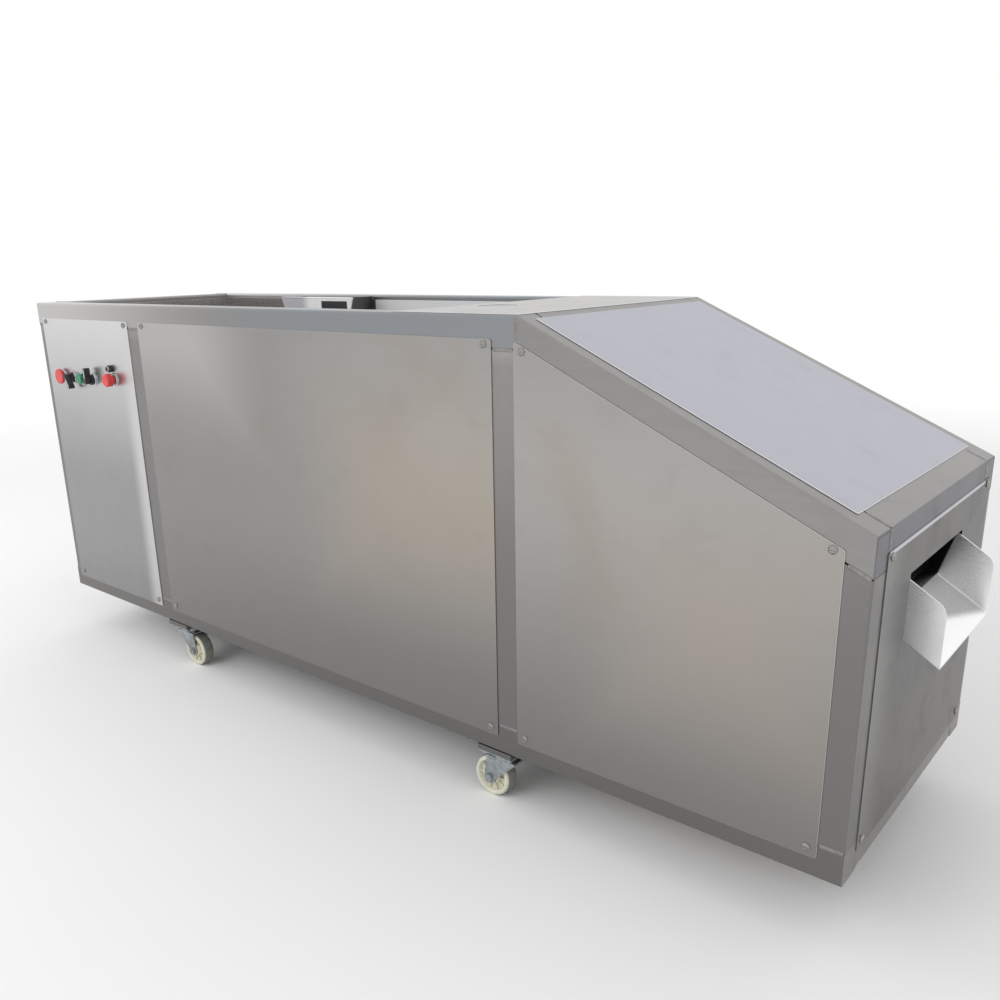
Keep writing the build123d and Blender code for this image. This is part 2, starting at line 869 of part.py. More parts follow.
def make_feed_area():
    t = sheet_thickness
    end = control_post_x + t
    floor = block((tube_size, end), (tube_size, back_inner_y), (tray_floor, tray_floor + t))
    walls = block((tube_size, end), (tube_size, back_inner_y), (tray_floor, tray_top))
    walls -= block((tube_size + t, end), (tube_size + t, back_inner_y - t), (tray_floor, tray_top))
    keep("fruit_tray", floor + walls)

    start, end = control_post_x + t, mid_post_x - liner_end_gap
    front = prism(liner_sheet(tube_size, carrier_front_outer, 1), "X", start, end)
    back = prism(liner_sheet(back_inner_y, carrier_back_outer, -1), "X", start, end)
    keep("trough_liners", front, back)

    below_points = [
        (carrier_back_outer, liner_lip_top + t),
        (back_inner_y - t, liner_bend_height + t),
        (back_inner_y - t, carrier_rail_top),
        (carrier_back_outer, carrier_rail_top),
    ]
    below = prism(below_points, "X", hopper_start_x - t, hopper_end_x + t)
    hopper_back = back_inner_y - t
    hopper_front = hopper_back - hopper_width
    run_of_slope = back_inner_y - t - carrier_back_outer
    rise = (liner_bend_height - liner_lip_top) / run_of_slope
    low = liner_lip_top + t + (hopper_front - carrier_back_outer) * rise
    outer = [
        (hopper_start_x, hopper_top),
        (hopper_start_x + hopper_taper, low),
        (hopper_end_x - hopper_taper, low),
        (hopper_end_x, hopper_top),
    ]
    inner = [
        (hopper_start_x + t, hopper_top),
        (hopper_start_x + hopper_taper + t, low),
        (hopper_end_x - hopper_taper - t, low),
        (hopper_end_x - t, hopper_top),
    ]
    shell = prism(outer, "Y", hopper_front, hopper_back) - prism(inner, "Y", hopper_front + t, hopper_back)
    shell -= below
    mouth_span = (mouth_end_x - mouth_length, mouth_end_x)
    mouth = block(mouth_span, (hopper_front, hopper_front + t), (low, hopper_top - mouth_top_margin))
    keep("feed_hopper", shell - mouth)

    high = belt_top - transfer_below_belt
    start = head_drum_x + transfer_from_drum
    end = feed_pair_x - transfer_to_roller
    points = [
        (start, high),
        (end, high - transfer_drop),
        (end, high - transfer_drop - transfer_thickness),
        (start, high - transfer_thickness),
    ]
    keep("transfer_plate", prism(points, "Y", carrier_front, carrier_back))


def make_conveyor():
    hole = shaft_radius + shaft_hole_clearance
    sides = []
    for low in (carrier_front_outer, carrier_back):
        span = (low, low + carrier_side_thickness)
        reach = (control_post_x + carrier_end_inset, ridge_x - carrier_end_inset)
        side = block(reach, span, (carrier_rail_top, carrier_side_top))
        for x in (tail_drum_x, head_drum_x):
            side -= rod((x, low, drum_z), Y_WAY, carrier_side_thickness, hole)
        sides.append(side)
    keep("conveyor_sides", *sides)

    half_belt = belt_width / 2
    length = head_drum_x - tail_drum_x
    middle = Pos((head_drum_x + tail_drum_x) / 2, drum_z)
    outer_radius = belt_inner_radius + belt_thickness
    loop = SlotCenterToCenter(length, 2 * outer_radius) - SlotCenterToCenter(length, 2 * belt_inner_radius)
    belt = slab(middle * loop, "Y", line_y - half_belt, line_y + half_belt)
    cleat_side = half_belt - cleat_margin
    path = 2 * length + 2 * math.pi * outer_radius
    count = int(path / cleat_pitch)
    for index in range(count):
        place, turn = belt_place(index * path / count, length, outer_radius)
        cleat = Rectangle(cleat_thickness, cleat_height + belt_thickness, align=(Align.CENTER, Align.MIN))
        face = Pos(*place) * Rot(0, 0, turn) * Pos(0, -belt_thickness) * cleat
        belt += slab(face, "Y", line_y - cleat_side, line_y + cleat_side)
    keep("conveyor_belt", belt)

    for name, x, front_end in (
        ("tail_drum", tail_drum_x, carrier_front_outer - bearing_thickness - shaft_stub),
        ("head_drum", head_drum_x, shaft_front_end),
    ):
        half_drum = carrier_gap / 2 - drum_end_gap
        back_end = carrier_back_outer + bearing_thickness + shaft_stub
        drum = rod((x, line_y - half_drum, drum_z), Y_WAY, 2 * half_drum, drum_radius)
        drum += rod((x, front_end, drum_z), Y_WAY, back_end - front_end, shaft_radius)
        solids = [drum]
        if name == "head_drum":
            solids += [bored_sprocket(x, y, drum_z) for y in (outer_chain_y, inner_chain_y)]
        keep(name, *solids)


def belt_place(distance, length, radius):
    """Place and turn of a cleat that lies a distance along the belt's outside."""
    if distance < length:
        return (tail_drum_x + distance, drum_z + radius), 0
    distance -= length
    half_turn = math.pi * radius
    if distance < half_turn:
        angle = distance / radius
        place = (head_drum_x + radius * math.sin(angle), drum_z + radius * math.cos(angle))
        return place, -math.degrees(angle)
    distance -= half_turn
    if distance < length:
        return (head_drum_x - distance, drum_z - radius), 180
    angle = (distance - length) / radius
    place = (tail_drum_x - radius * math.sin(angle), drum_z - radius * math.cos(angle))
    return place, 180 - math.degrees(angle)


def pair_heights(x):
    """Heights of the upper and the lower roller of a pair."""
    upper = roof(x) - pair_below_roof
    return upper, upper - pair_distance


def make_head():
    feed_upper, feed_lower = pair_heights(feed_pair_x)
    peel_upper, peel_lower = pair_heights(peel_pair_x)
    roller_places = (
        (feed_pair_x, feed_upper),
        (feed_pair_x, feed_lower),
        (peel_pair_x, peel_upper),
        (peel_pair_x, peel_lower),
    )
    member_end = ridge_x + tube_size + head_member_gap
    member_under = roof(ridge_x + tube_size) - tube_size - head_member_gap
    rail_top = deck_rail_base + tube_size
    points = [
        (head_plate_start_x, carrier_rail_top),
        (head_plate_start_x, member_under),
        (member_end, member_under),
        (member_end, roof(member_end) - head_roof_gap),
        (head_plate_end_x, roof(head_plate_end_x) - head_roof_gap),
        (head_plate_end_x, rail_top),
        (head_rail_x, rail_top),
        (feed_pair_x + roller_radius, carrier_rail_top - tube_size),
        (ridge_x + head_member_gap, carrier_rail_top),
    ]
    hole = shaft_radius + shaft_hole_clearance
    plates = []
    for low in (head_front_outer, head_back):
        plate = prism(points, "Y", low, low + head_plate_thickness)
        for x, z in roller_places:
            plate -= rod((x, low, z), Y_WAY, head_plate_thickness, hole)
        plates.append(plate)
    keep("head_plates", *plates)

    bearings = []
    bore = shaft_radius + running_clearance
    for x, z in roller_places:
        for y in (head_front_outer - bearing_thickness, head_back_outer):
            bearings.append(ring((x, y, z), Y_WAY, bearing_thickness, bearing_radius, bore))
    for x in (tail_drum_x, head_drum_x):
        for y in (carrier_front_outer - bearing_thickness, carrier_back_outer):
            bearings.append(ring((x, y, drum_z), Y_WAY, bearing_thickness, bearing_radius, bore))
    keep("shaft_bearings", *bearings)

    short_end = head_front_outer - bearing_thickness - shaft_stub
    keep("upper_feed_roller", *roller(feed_pair_x, feed_upper, True, short_end, ()))
    both_rows = (outer_chain_y, inner_chain_y)
    keep("lower_feed_roller", *roller(feed_pair_x, feed_lower, True, shaft_front_end, both_rows))
    keep("upper_peel_roller", *roller(peel_pair_x, peel_upper, False, short_end, ()))
    keep("lower_peel_roller", *roller(peel_pair_x, peel_lower, False, shaft_front_end, (outer_chain_y,)))
    make_knives()


def roller(x, z, ribbed, front_end, sprocket_ys):
    """Roller on its shaft, with its gear and any sprockets as further solids."""
    half = head_gap / 2 - roller_end_gap
    core = rod((x, front_end, z), Y_WAY, shaft_back_end - front_end, shaft_radius)
    if ribbed:
        root = roller_radius - rib_depth
        face = toothed_outline(rib_count, root, roller_radius, rib_root_share, rib_width_share)
        core += slab(Pos(x, z) * face, "Y", line_y - half, line_y + half)
    else:
        core += rod((x, line_y - half, z), Y_WAY, 2 * half, roller_radius)
        pitch = 2 * half / groove_count
        for index in range(groove_count):
            start = line_y - half + (index + 0.5) * pitch - groove_width / 2
            outer = roller_radius + groove_depth
            core -= ring((x, start, z), Y_WAY, groove_width, outer, roller_radius - groove_depth)
    bore = shaft_radius + running_clearance
    solids = [core]
    turn = math.pi / 2 if sprocket_ys else math.pi / 2 + math.pi / gear_teeth
    face = Pos(x, z) * gear_outline(gear_teeth, gear_module, turn)
    gear = slab(face, "Y", gear_front_y, gear_front_y + gear_width)
    solids.append(gear - rod((x, gear_front_y, z), Y_WAY, gear_width, bore))
    return solids + [bored_sprocket(x, y, z) for y in sprocket_ys]


def sprocket(x, y, z):
    root = sprocket_radius - sprocket_tooth_depth
    face = toothed_outline(sprocket_teeth, root, sprocket_radius, sprocket_root_share, sprocket_tip_share)
    return slab(Pos(x, z) * face, "Y", y, y + sprocket_thickness)


def bored_sprocket(x, y, z):
    """Sprocket that sits on a shaft."""
    return sprocket(x, y, z) - rod((x, y, z), Y_WAY, sprocket_thickness, shaft_radius + running_clearance)


def make_knives():
    """Bar across the head with the slitting knives that hang from it."""
    half = knife_bar_size / 2
    bar_z = roof(knife_bar_x) - knife_below_roof
    along = (knife_bar_x - half, knife_bar_x + half)
    bar = block(along, (head_front, head_back), (bar_z - half, bar_z + half))
    solids = [bar]
    for index in range(knife_count):
        y = line_y + (index - (knife_count - 1) / 2) * knife_pitch
        low = bar_z - half - knife_length
        points = [
            (knife_bar_x - knife_width / 2, bar_z - half),
            (knife_bar_x + knife_width / 2, bar_z - half),
            (knife_bar_x + knife_width / 2, low),
            (knife_bar_x - knife_width / 2, low + knife_point),
        ]
        solids.append(prism(points, "Y", y - knife_thickness / 2, y + knife_thickness / 2))
    keep("slitting_knives", *solids)


def trough(start, end, wall, front, back):
    """Open trough that falls towards the outlet."""
    lift = trough_thickness / math.cos(math.radians(trough_angle))
    base = trough_base
    points = [(start, base(start)), (end, base(end)), (end, base(end) + wall), (start, base(start) + wall)]
    shell = prism(points, "Y", front, back)
    low, high = start - trough_thickness, end + trough_thickness
    inner = [
        (low, base(low) + lift),
        (high, base(high) + lift),
        (high, base(low) + 2 * wall),
        (low, base(low) + 2 * wall),
    ]
    return shell - prism(inner, "Y", front + trough_thickness, back - trough_thickness)


def make_outlet():
    slide_start = peel_pair_x + slide_from_rollers
    keep("discharge_slide", trough(slide_start, trough_start_x, slide_wall, head_front, head_back))
    chute = trough(trough_start_x, frame_length + trough_reach, trough_wall, head_front, head_back)
    corners = chute.edges().filter_by(Axis.Y).filter_by(
        lambda edge: edge.length < 2 * trough_thickness and edge.center().X > frame_length
    )
    top_corners = corners.group_by(Axis.Z)[-1]
    keep("outlet_trough", fillet(top_corners, trough_corner))

    t = sheet_thickness
    low_y_in, high_y_in = tube_size + pan_side_gap, back_inner_y - pan_side_gap
    start, end = ridge_x + pan_from_ridge, last_post_x - pan_from_last_post
    top = tube_size + t
    flange = block((start, end), (low_y_in - pan_flange, high_y_in + pan_flange), (tube_size, top))
    body = block((start, end), (low_y_in, high_y_in), (tube_size - pan_depth, top))
    hollow_height = (tube_size - pan_depth + t, top)
    hollow = block((start + t, end - t), (low_y_in + t, high_y_in - t), hollow_height)
    keep("peel_pan", flange + body - hollow)


def make_drive():
    plate_x = motor_rail_x - base_plate_before_rail
    plate_y = gearbox_front_y - gearbox_from_plate_edge
    plate = block(
        (plate_x, plate_x + base_plate_length),
        (plate_y, plate_y + base_plate_width),
        (tube_size, tube_size + base_plate_thickness),
    )
    keep("motor_base", plate)
    base = tube_size + base_plate_thickness
    box = block(
        (output_x - gearbox_width / 2, output_x + gearbox_width / 2),
        (gearbox_front_y, gearbox_front_y + gearbox_depth),
        (base, base + gearbox_height),
    )
    box = fillet(box.edges().filter_by(Axis.Y), gearbox_round)
    bore = shaft_radius + running_clearance
    box -= rod((output_x, gearbox_front_y, output_z), Y_WAY, gearbox_bore_depth, bore)
    motor_y = gearbox_front_y + gearbox_depth / 2
    motor_end = output_x - gearbox_width / 2
    start = motor_end - motor_length
    motor = rod((start, motor_y, output_z), X_WAY, motor_length, motor_radius)
    fan_start = start - motor_fan_length
    motor += rod((fan_start, motor_y, output_z), X_WAY, motor_fan_length, motor_radius + motor_fan_step)
    rib = block(
        (start + motor_rib_margin, motor_end - motor_rib_margin),
        (-motor_rib_width / 2, motor_rib_width / 2),
        (motor_radius - motor_rib_height, motor_radius + motor_rib_height),
    )
    ribs = []
    for index in range(motor_rib_count):
        ribs.append(Pos(0, motor_y, output_z) * Rot(360 * index / motor_rib_count, 0, 0) * rib)
    motor += ribs
    half = terminal_box_size / 2
    middle = start + motor_length / 2
    top = output_z + motor_radius
    along = (middle - half, middle + half)
    motor += block(along, (motor_y - half, motor_y + half), (output_z, top + terminal_box_height))
    keep("gearmotor", box, motor)

    shaft_length = gearbox_front_y + gearbox_bore_depth - shaft_stub - shaft_front_end
    shaft = rod((output_x, shaft_front_end, output_z), Y_WAY, shaft_length, shaft_radius)
    keep("drive_sprocket", shaft + sprocket(output_x, outer_chain_y, output_z))

    lower_feed = (feed_pair_x, pair_heights(feed_pair_x)[1])
    lower_peel = (peel_pair_x, pair_heights(peel_pair_x)[1])
    drum = (head_drum_x, drum_z)
    keep(
        "drive_chains",
        chain((output_x, output_z), drum, outer_chain_y),
        chain(drum, lower_feed, inner_chain_y),
        chain(lower_feed, lower_peel, outer_chain_y),
    )


def chain(start, end, y):
    """Chain loop round two equal sprockets."""
    across, up = end[0] - start[0], end[1] - start[1]
    length = math.hypot(across, up)
    inner_radius = sprocket_radius + chain_clearance
    loop = SlotCenterToCenter(length, 2 * (inner_radius + chain_thickness))
    loop -= SlotCenterToCenter(length, 2 * inner_radius)
    middle = Pos((start[0] + end[0]) / 2, (start[1] + end[1]) / 2)
    face = middle * Rot(0, 0, math.degrees(math.atan2(up, across))) * loop
    edge = (chain_width - sprocket_thickness) / 2
    return slab(face, "Y", y - edge, y + chain_width - edge)


def make_controls():
    front = -sheet_thickness
    stem_bore = stem_radius + stem_clearance
    bezels, bodies = [], []
    for x, z in control_places:
        place = (x, front - bezel_thickness, z)
        bezel = ring(place, Y_WAY, bezel_thickness, bezel_radius, stem_bore)
        rim = bezel.edges().group_by(Axis.Y)[0].sort_by(SortBy.RADIUS)[-1]
        bezels.append(fillet(rim, bezel_round))
        collar = ring((x, front, z), Y_WAY, switch_collar_length, control_radius, stem_bore)
        behind = front + switch_collar_length
        housing = block(
            (x - switch_width / 2, x + switch_width / 2),
            (behind, behind + switch_depth),
            (z - switch_height / 2, z + switch_height / 2),
        )
        bodies.append(collar + housing)
    keep("control_bezels", *bezels)
    keep("switch_bodies", *bodies)

    keep("red_button", push_button(red_button_x, red_cap_radius))
    keep("green_button", push_button(green_button_x, button_cap_radius))
    keep("left_selector", selector(left_selector_x, left_selector_turn))
    keep("right_selector", selector(right_selector_x, 0))
    face = front - bezel_thickness
    stem = control_stem(stop_x, stop_height, mushroom_neck)
    cap_place = (stop_x, face - mushroom_neck - mushroom_thickness, stop_height)
    cap = rod(cap_place, Y_WAY, mushroom_thickness, mushroom_radius)
    cap = fillet(cap.edges().group_by(Axis.Y)[0], mushroom_round)
    keep("stop_button", stem + cap)
    make_lamp()


def control_stem(x, z, neck):
    """Stem from inside the switch to a neck in front of the bezel."""
    front = -sheet_thickness
    start = front - bezel_thickness - neck
    return rod((x, start, z), Y_WAY, front + stem_depth - start, stem_radius)


def push_button(x, cap_radius):
    """Button with a cap that stands off the bezel by more than its travel."""
    neck = button_travel + stem_clearance
    face = -sheet_thickness - bezel_thickness - neck
    place = (x, face - button_cap_thickness, control_height)
    cap = rod(place, Y_WAY, button_cap_thickness, cap_radius)
    cap = fillet(cap.edges().group_by(Axis.Y)[0], cap_round)
    return control_stem(x, control_height, neck) + cap


def make_lamp():
    """Indicator lamp: its holder with the stem behind the panel, and its lens."""
    front = -sheet_thickness
    holder = rod((lamp_x, front - lamp_thickness, lamp_height), Y_WAY, lamp_thickness, lamp_radius)
    holder = fillet(holder.edges().group_by(Axis.Y)[0], cap_round)
    holder += rod((lamp_x, front, lamp_height), Y_WAY, lamp_stem_length, lamp_stem_radius)
    lens_front = front - lamp_thickness - lamp_lens_height
    lens = rod((lamp_x, lens_front, lamp_height), Y_WAY, lamp_lens_height, lamp_lens_radius)
    lens = fillet(lens.edges().group_by(Axis.Y)[0], lamp_lens_round)
    keep("indicator_lamp", holder, lens)


def selector(x, turn):
    """Turning knob with a lever, turned clockwise from upright by an angle."""
    face = -sheet_thickness - bezel_thickness - stem_clearance
    start = (x, face - selector_base_thickness, control_height)
    knob = rod(start, Y_WAY, selector_base_thickness, selector_base_radius)
    knob += control_stem(x, control_height, stem_clearance)
    near = face - selector_base_thickness - lever_height
    lever = SlotOverall(lever_long_end + lever_short_end, lever_width)
    bar = Pos((lever_long_end - lever_short_end) / 2) * lever
    face_plane = Pos(x, control_height) * Rot(0, 0, 90 - turn) * bar
    return knob + slab(face_plane, "Y", near, face - selector_base_thickness)


def make_electrics():
    w = box_wall
    across = (tube_size + box_post_gap, control_post_x - box_post_gap)
    along = (box_front_y, box_front_y + box_depth)
    up = (tube_size, control_height - box_below_controls)
    shell = block(across, along, up)
    shell -= block((across[0] + w, across[1] - w), (along[0], along[1] - w), (up[0] + w, up[1] - w))
    lap = box_door_overlap
    door = block((across[0] - lap, across[1] + lap), (along[0] - w, along[0]), (up[0], up[1] + lap))
    keep("electrical_box", shell, door)

    rail_z = up[1] - din_rail_below_top
    rail_back = along[1] - w
    rail = block(
        (across[0] + din_rail_margin, across[1] - din_rail_margin),
        (rail_back - din_rail_thickness, rail_back),
        (rail_z - din_rail_width / 2, rail_z + din_rail_width / 2),
    )
    devices = [rail]
    start = across[0] + din_rail_margin + device_gap
    device_back = rail_back - din_rail_thickness
    for width in device_widths:
        body = block(
            (start, start + width),
            (device_back - device_depth, device_back),
            (rail_z - device_height / 2, rail_z + device_height / 2),
        )
        for low in (rail_z - device_height / 2, rail_z + device_height / 2 - device_step_height):
            body -= block(
                (start, start + width),
                (device_back - device_depth, device_back - device_step_depth),
                (low, low + device_step_height),
            )
        devices.append(body)
        start += width + device_gap
    keep("switchgear", *devices)

    outer = frame_width + sheet_thickness
    inner = frame_width
    start = (gland_x, inner - gland_inner_length, gland_height)
    gland = rod(start, Y_WAY, gland_inner_length + sheet_thickness, gland_radius)
    nut = Pos(gland_x, gland_height) * hexagon(gland_nut_radius)
    gland += slab(nut, "Y", outer, outer + gland_nut_thickness)
    gland += slab(nut, "Y", inner - gland_nut_thickness, inner)
    gland += rod((gland_x, outer + gland_nut_thickness, gland_height), Y_WAY, gland_length, gland_radius)
    whole = gland_inner_length + sheet_thickness + gland_nut_thickness + gland_length
    gland -= rod((gland_x, inner - gland_inner_length, gland_height), Y_WAY, whole, gland_bore)
    keep("cable_gland", gland)


def write_parts():
    """Move every node to the origin and write it."""
    os.makedirs("parts", exist_ok=True)
    shift = Pos(-origin_x, -origin_y, -floor_z)
    for name, solids in nodes.items():
        pieces = []
        for solid in solids:
            pieces.extend((shift * solid).solids())
        export_step(Compound(children=pieces), f"parts/{name}.step")


make_frame()
make_casters()
make_panels()
make_feed_area()
make_conveyor()
make_head()
make_outlet()
make_drive()
make_controls()
make_electrics()
write_parts()
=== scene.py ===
import json
import math
import bpy
from bpy.props import FloatProperty, FloatVectorProperty, IntProperty, PointerProperty
from mathutils import Matrix, Vector


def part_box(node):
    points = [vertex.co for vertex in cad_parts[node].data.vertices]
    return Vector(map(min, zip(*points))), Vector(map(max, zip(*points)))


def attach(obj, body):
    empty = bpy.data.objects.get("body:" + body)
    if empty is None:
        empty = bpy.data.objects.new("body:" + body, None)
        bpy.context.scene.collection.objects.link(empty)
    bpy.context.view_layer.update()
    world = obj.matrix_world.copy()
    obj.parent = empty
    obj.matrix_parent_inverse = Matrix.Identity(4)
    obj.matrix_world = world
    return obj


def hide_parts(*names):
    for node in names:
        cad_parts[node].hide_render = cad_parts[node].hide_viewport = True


bl_info = {
    "name": "Plantain peeling machine",
    "version": (1, 0, 0),
    "blender": (4, 5, 0),
    "location": "View3D > Sidebar > Peeler",
    "description": "Dresses the peeling machine's frame with its finishes and fine pieces",
    "category": "Object",
}

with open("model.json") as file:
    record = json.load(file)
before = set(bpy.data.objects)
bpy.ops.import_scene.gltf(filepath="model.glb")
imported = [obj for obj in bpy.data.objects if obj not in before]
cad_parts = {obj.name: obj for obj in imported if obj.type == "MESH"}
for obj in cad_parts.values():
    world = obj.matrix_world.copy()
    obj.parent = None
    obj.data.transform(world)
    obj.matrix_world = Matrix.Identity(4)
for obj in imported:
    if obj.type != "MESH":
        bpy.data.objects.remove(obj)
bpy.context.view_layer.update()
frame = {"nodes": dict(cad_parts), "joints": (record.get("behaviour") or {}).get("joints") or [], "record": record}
nodes = frame["nodes"]
bodies = frame["record"]["behaviour"]["bodies"]
body_of_node = {name: body for body, names in bodies.items() for name in names}

# Places on the frame, in metres
frame_low, frame_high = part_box("bottom_rails")
LEFT, FRONT, BASE = frame_low
RIGHT, BACK, RAIL_TOP = frame_high
RIDGE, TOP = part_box("top_rails")[1].x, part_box("top_rails")[1].z
TUBE = RAIL_TOP - BASE
SLOPE_DROP = 0.240
SLOPE_END = TOP - SLOPE_DROP
SLOPE_FALL = SLOPE_DROP / (RIGHT - RIDGE)
SLOPE_ANGLE = math.atan(SLOPE_FALL)
CONTROL_WIDTH = 0.400
CONTROL_POST = LEFT + CONTROL_WIDTH
MIDDLE_POST = RIDGE - TUBE
SHEET = 0.0015

SHEETS = {
    "control_panel": "control_sheet", "front_panel": "sheet", "front_slope_panel": "slope_sheet",
    "back_feed_panel": "sheet", "back_panel": "sheet", "back_slope_panel": "slope_sheet",
    "feed_end_panel": "end_sheet", "outlet_end_panel": "end_sheet", "top_cover": "cover",
    "slope_cover": "slope",
}
FORKS = [name for name in nodes if name.startswith("caster_fork")]
WHEELS = [name for name in nodes if name.startswith("caster_wheel")]
# Roughness of brushed sheets, how much their foot darkens with soiling and painted shade, and the reach of a patch
# that is open on a side
BRUSHED, SHEET_FOOT_SOILING_AND_SHADE, FAR = 0.34, 0.35, 9.0
materials = {}


class FinishColours(bpy.types.PropertyGroup):
    tube: FloatVectorProperty(
        name="Tube", description="Satin steel of the frame's tube", subtype="COLOR",
        default=(0.300, 0.292, 0.284))
    sheet: FloatVectorProperty(
        name="Sheet", description="Brushed steel of the outer sheets", subtype="COLOR",
        default=(0.378, 0.368, 0.358))
    warm: FloatVectorProperty(
        name="Warm marks", description="Warm cast of handled steel", subtype="COLOR",
        default=(0.40, 0.33, 0.28))
    # The control sheet reads lighter through painted highlights made from this colour.
    control: FloatVectorProperty(
        name="Control sheet", description="Lighter brushed steel of the control sheet", subtype="COLOR",
        default=(0.31, 0.306, 0.31))
    slope: FloatVectorProperty(
        name="Slope cover", description="Pale film-smooth steel of the slope cover", subtype="COLOR",
        default=(0.475, 0.478, 0.535))
    inner: FloatVectorProperty(
        name="Inner sheet", description="Steel of trays and linings", subtype="COLOR",
        default=(0.44, 0.43, 0.42))
    # The trough's walls are painted lit and shaded copies of this colour.
    trough: FloatVectorProperty(
        name="Trough", description="Bright steel of the outlet trough", subtype="COLOR",
        default=(0.66, 0.66, 0.67))
    machined: FloatVectorProperty(
        name="Machined steel", description="Turned shafts and rollers", subtype="COLOR",
        default=(0.46, 0.46, 0.47))
    zinc: FloatVectorProperty(
        name="Zinc", description="Zinc plating of the casters", subtype="COLOR", default=(0.40, 0.43, 0.45))
    nylon: FloatVectorProperty(
        name="Nylon", description="Cream nylon of the wheels", subtype="COLOR", default=(0.68, 0.67, 0.55))
    red: FloatVectorProperty(
        name="Red", description="Red plastic of the push and stop buttons", subtype="COLOR",
        default=(0.62, 0.025, 0.03))
    green: FloatVectorProperty(
        name="Green", description="Green plastic of the start button", subtype="COLOR",
        default=(0.01, 0.20, 0.09))
    black: FloatVectorProperty(
        name="Black", description="Black plastic of knobs and fittings", subtype="COLOR",
        default=(0.014, 0.014, 0.015))


class EdgeSizes(bpy.types.PropertyGroup):
    sheet_round: FloatProperty(
        name="Sheet edge", description="Width of the rounding on sheet edges", unit="LENGTH", default=0.0004)
    # The rim's lighter edge material is part the cut edge's own brightness, part a painted highlight.
    rim_width: FloatProperty(
        name="Rim", description="Width of the polished edge of outer sheets", unit="LENGTH", default=0.00072)
    fork_round: FloatProperty(
        name="Fork edge", description="Width of the rounding on pressed parts", unit="LENGTH", default=0.0008)
    hem_radius: FloatProperty(
        name="Hem", description="Radius of the rolled edge on trays", unit="LENGTH", default=0.0021)


class WeldSizes(bpy.types.PropertyGroup):
    width: FloatProperty(name="Bead width", description="Width of a weld bead", unit="LENGTH", default=0.0062)
    height: FloatProperty(
        name="Bead height", description="How far a bead stands out", unit="LENGTH", default=0.0011)
    pitch: FloatProperty(
        name="Ripple pitch", description="Distance between ripples", unit="LENGTH", default=0.0030)


class WheelSizes(bpy.types.PropertyGroup):
    rib_count: IntProperty(name="Ribs", description="Ribs in each side of a wheel", default=10)
    rib_thickness: FloatProperty(
        name="Rib thickness", description="Thickness of a rib", unit="LENGTH", default=0.0018)
    hub_radius: FloatProperty(
        name="Hub radius", description="Radius of the red hub", unit="LENGTH", default=0.0122)


class StageSettings(bpy.types.PropertyGroup):
    floor: FloatVectorProperty(
        name="Floor", description="Colour of the floor", subtype="COLOR", default=(0.93, 0.93, 0.93))
    sky: FloatProperty(name="Sky", description="Strength of the even light", default=0.85)
    key: FloatProperty(name="Key", description="Power of the large front lamp", subtype="POWER", default=60.0)
    side: FloatProperty(
        name="Side", description="Power of the lamp by the feed end", subtype="POWER", default=30.0)
    lens: FloatProperty(name="Lens", description="Focal length of the camera", default=33.507)
    azimuth: FloatProperty(
        name="Azimuth", description="Turn of the view", subtype="ANGLE", default=math.radians(40.52))
    elevation: FloatProperty(
        name="Elevation", description="Height of the view", subtype="ANGLE", default=math.radians(16.964))
    roll: FloatProperty(
        name="Roll", description="Tilt of the view", subtype="ANGLE", default=math.radians(-1.351))
    place: FloatVectorProperty(
        name="Camera place", description="Where the camera stands, from the frame's upper front feed corner",
        subtype="TRANSLATION", default=(2.31803, -1.08288, 0.08084))
    shift: FloatVectorProperty(
        name="Shift", description="Shift of the lens across and up", size=2, default=(0.0202, 0.0414))


# Modelling helpers


def deselect():
    """Leave every object unselected, in object mode."""
    active = bpy.context.view_layer.objects.active
    if active and active.mode != "OBJECT":
        bpy.ops.object.mode_set(mode="OBJECT")
    bpy.ops.object.select_all(action="DESELECT")


def pick(*pieces):
    """Select the pieces, the first as the active one."""
    deselect()
    for piece in pieces:
        piece.select_set(True)
    bpy.context.view_layer.objects.active = pieces[0]


def settle(piece):
    """Put the piece's place into its mesh."""
    pick(piece)
    bpy.ops.object.transform_apply(location=True, rotation=True, scale=True)
    return piece


def place_at(piece, origin, z_way, x_way=None):
    """Move a piece that was made at the origin so that its Z axis points along z_way."""
    z_axis = Vector(z_way).normalized()
    helper = Vector(x_way) if x_way else (Vector((1, 0, 0)) if abs(z_axis.x) < 0.9 else Vector((0, 1, 0)))
    y_axis = z_axis.cross(helper).normalized()
    x_axis = y_axis.cross(z_axis)
    turn = Matrix((x_axis, y_axis, z_axis)).transposed().to_4x4()
    piece.matrix_world = Matrix.Translation(origin) @ turn @ piece.matrix_world
    return settle(piece)


def joined(pieces):
    """One object made of the pieces."""
    pick(*pieces)
    if len(pieces) > 1:
        bpy.ops.object.join()
    return bpy.context.view_layer.objects.active


def modify(piece, kind, **settings):
    """Give the active piece a modifier with its settings and apply it."""
    modifier = piece.modifiers.new("shaping", kind)
    for key, value in settings.items():
        setattr(modifier, key, value)
    bpy.ops.object.modifier_apply(modifier=modifier.name)


def put_on(piece, looks):
    """Give a piece the materials, in this order and no others."""
    piece.data.materials.clear()
    for look in looks:
        piece.data.materials.append(materials[look])


def finish_piece(piece, name, looks, body, smooth=30, weighted=False):
    """Name a piece, give it its material or materials and fix it to its body."""
    settle(piece)
    piece.name = name
    piece.data.name = name
    looks = looks if isinstance(looks, tuple) else (looks,)
    places = [min(face.material_index, len(looks) - 1) for face in piece.data.polygons]
    put_on(piece, looks)
    piece.data.polygons.foreach_set("material_index", places)
    bpy.ops.object.shade_smooth_by_angle(angle=math.radians(smooth))
    if weighted:
        modify(piece, "WEIGHTED_NORMAL", mode="FACE_AREA", weight=100, keep_sharp=True)
    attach(piece, body)
    return piece


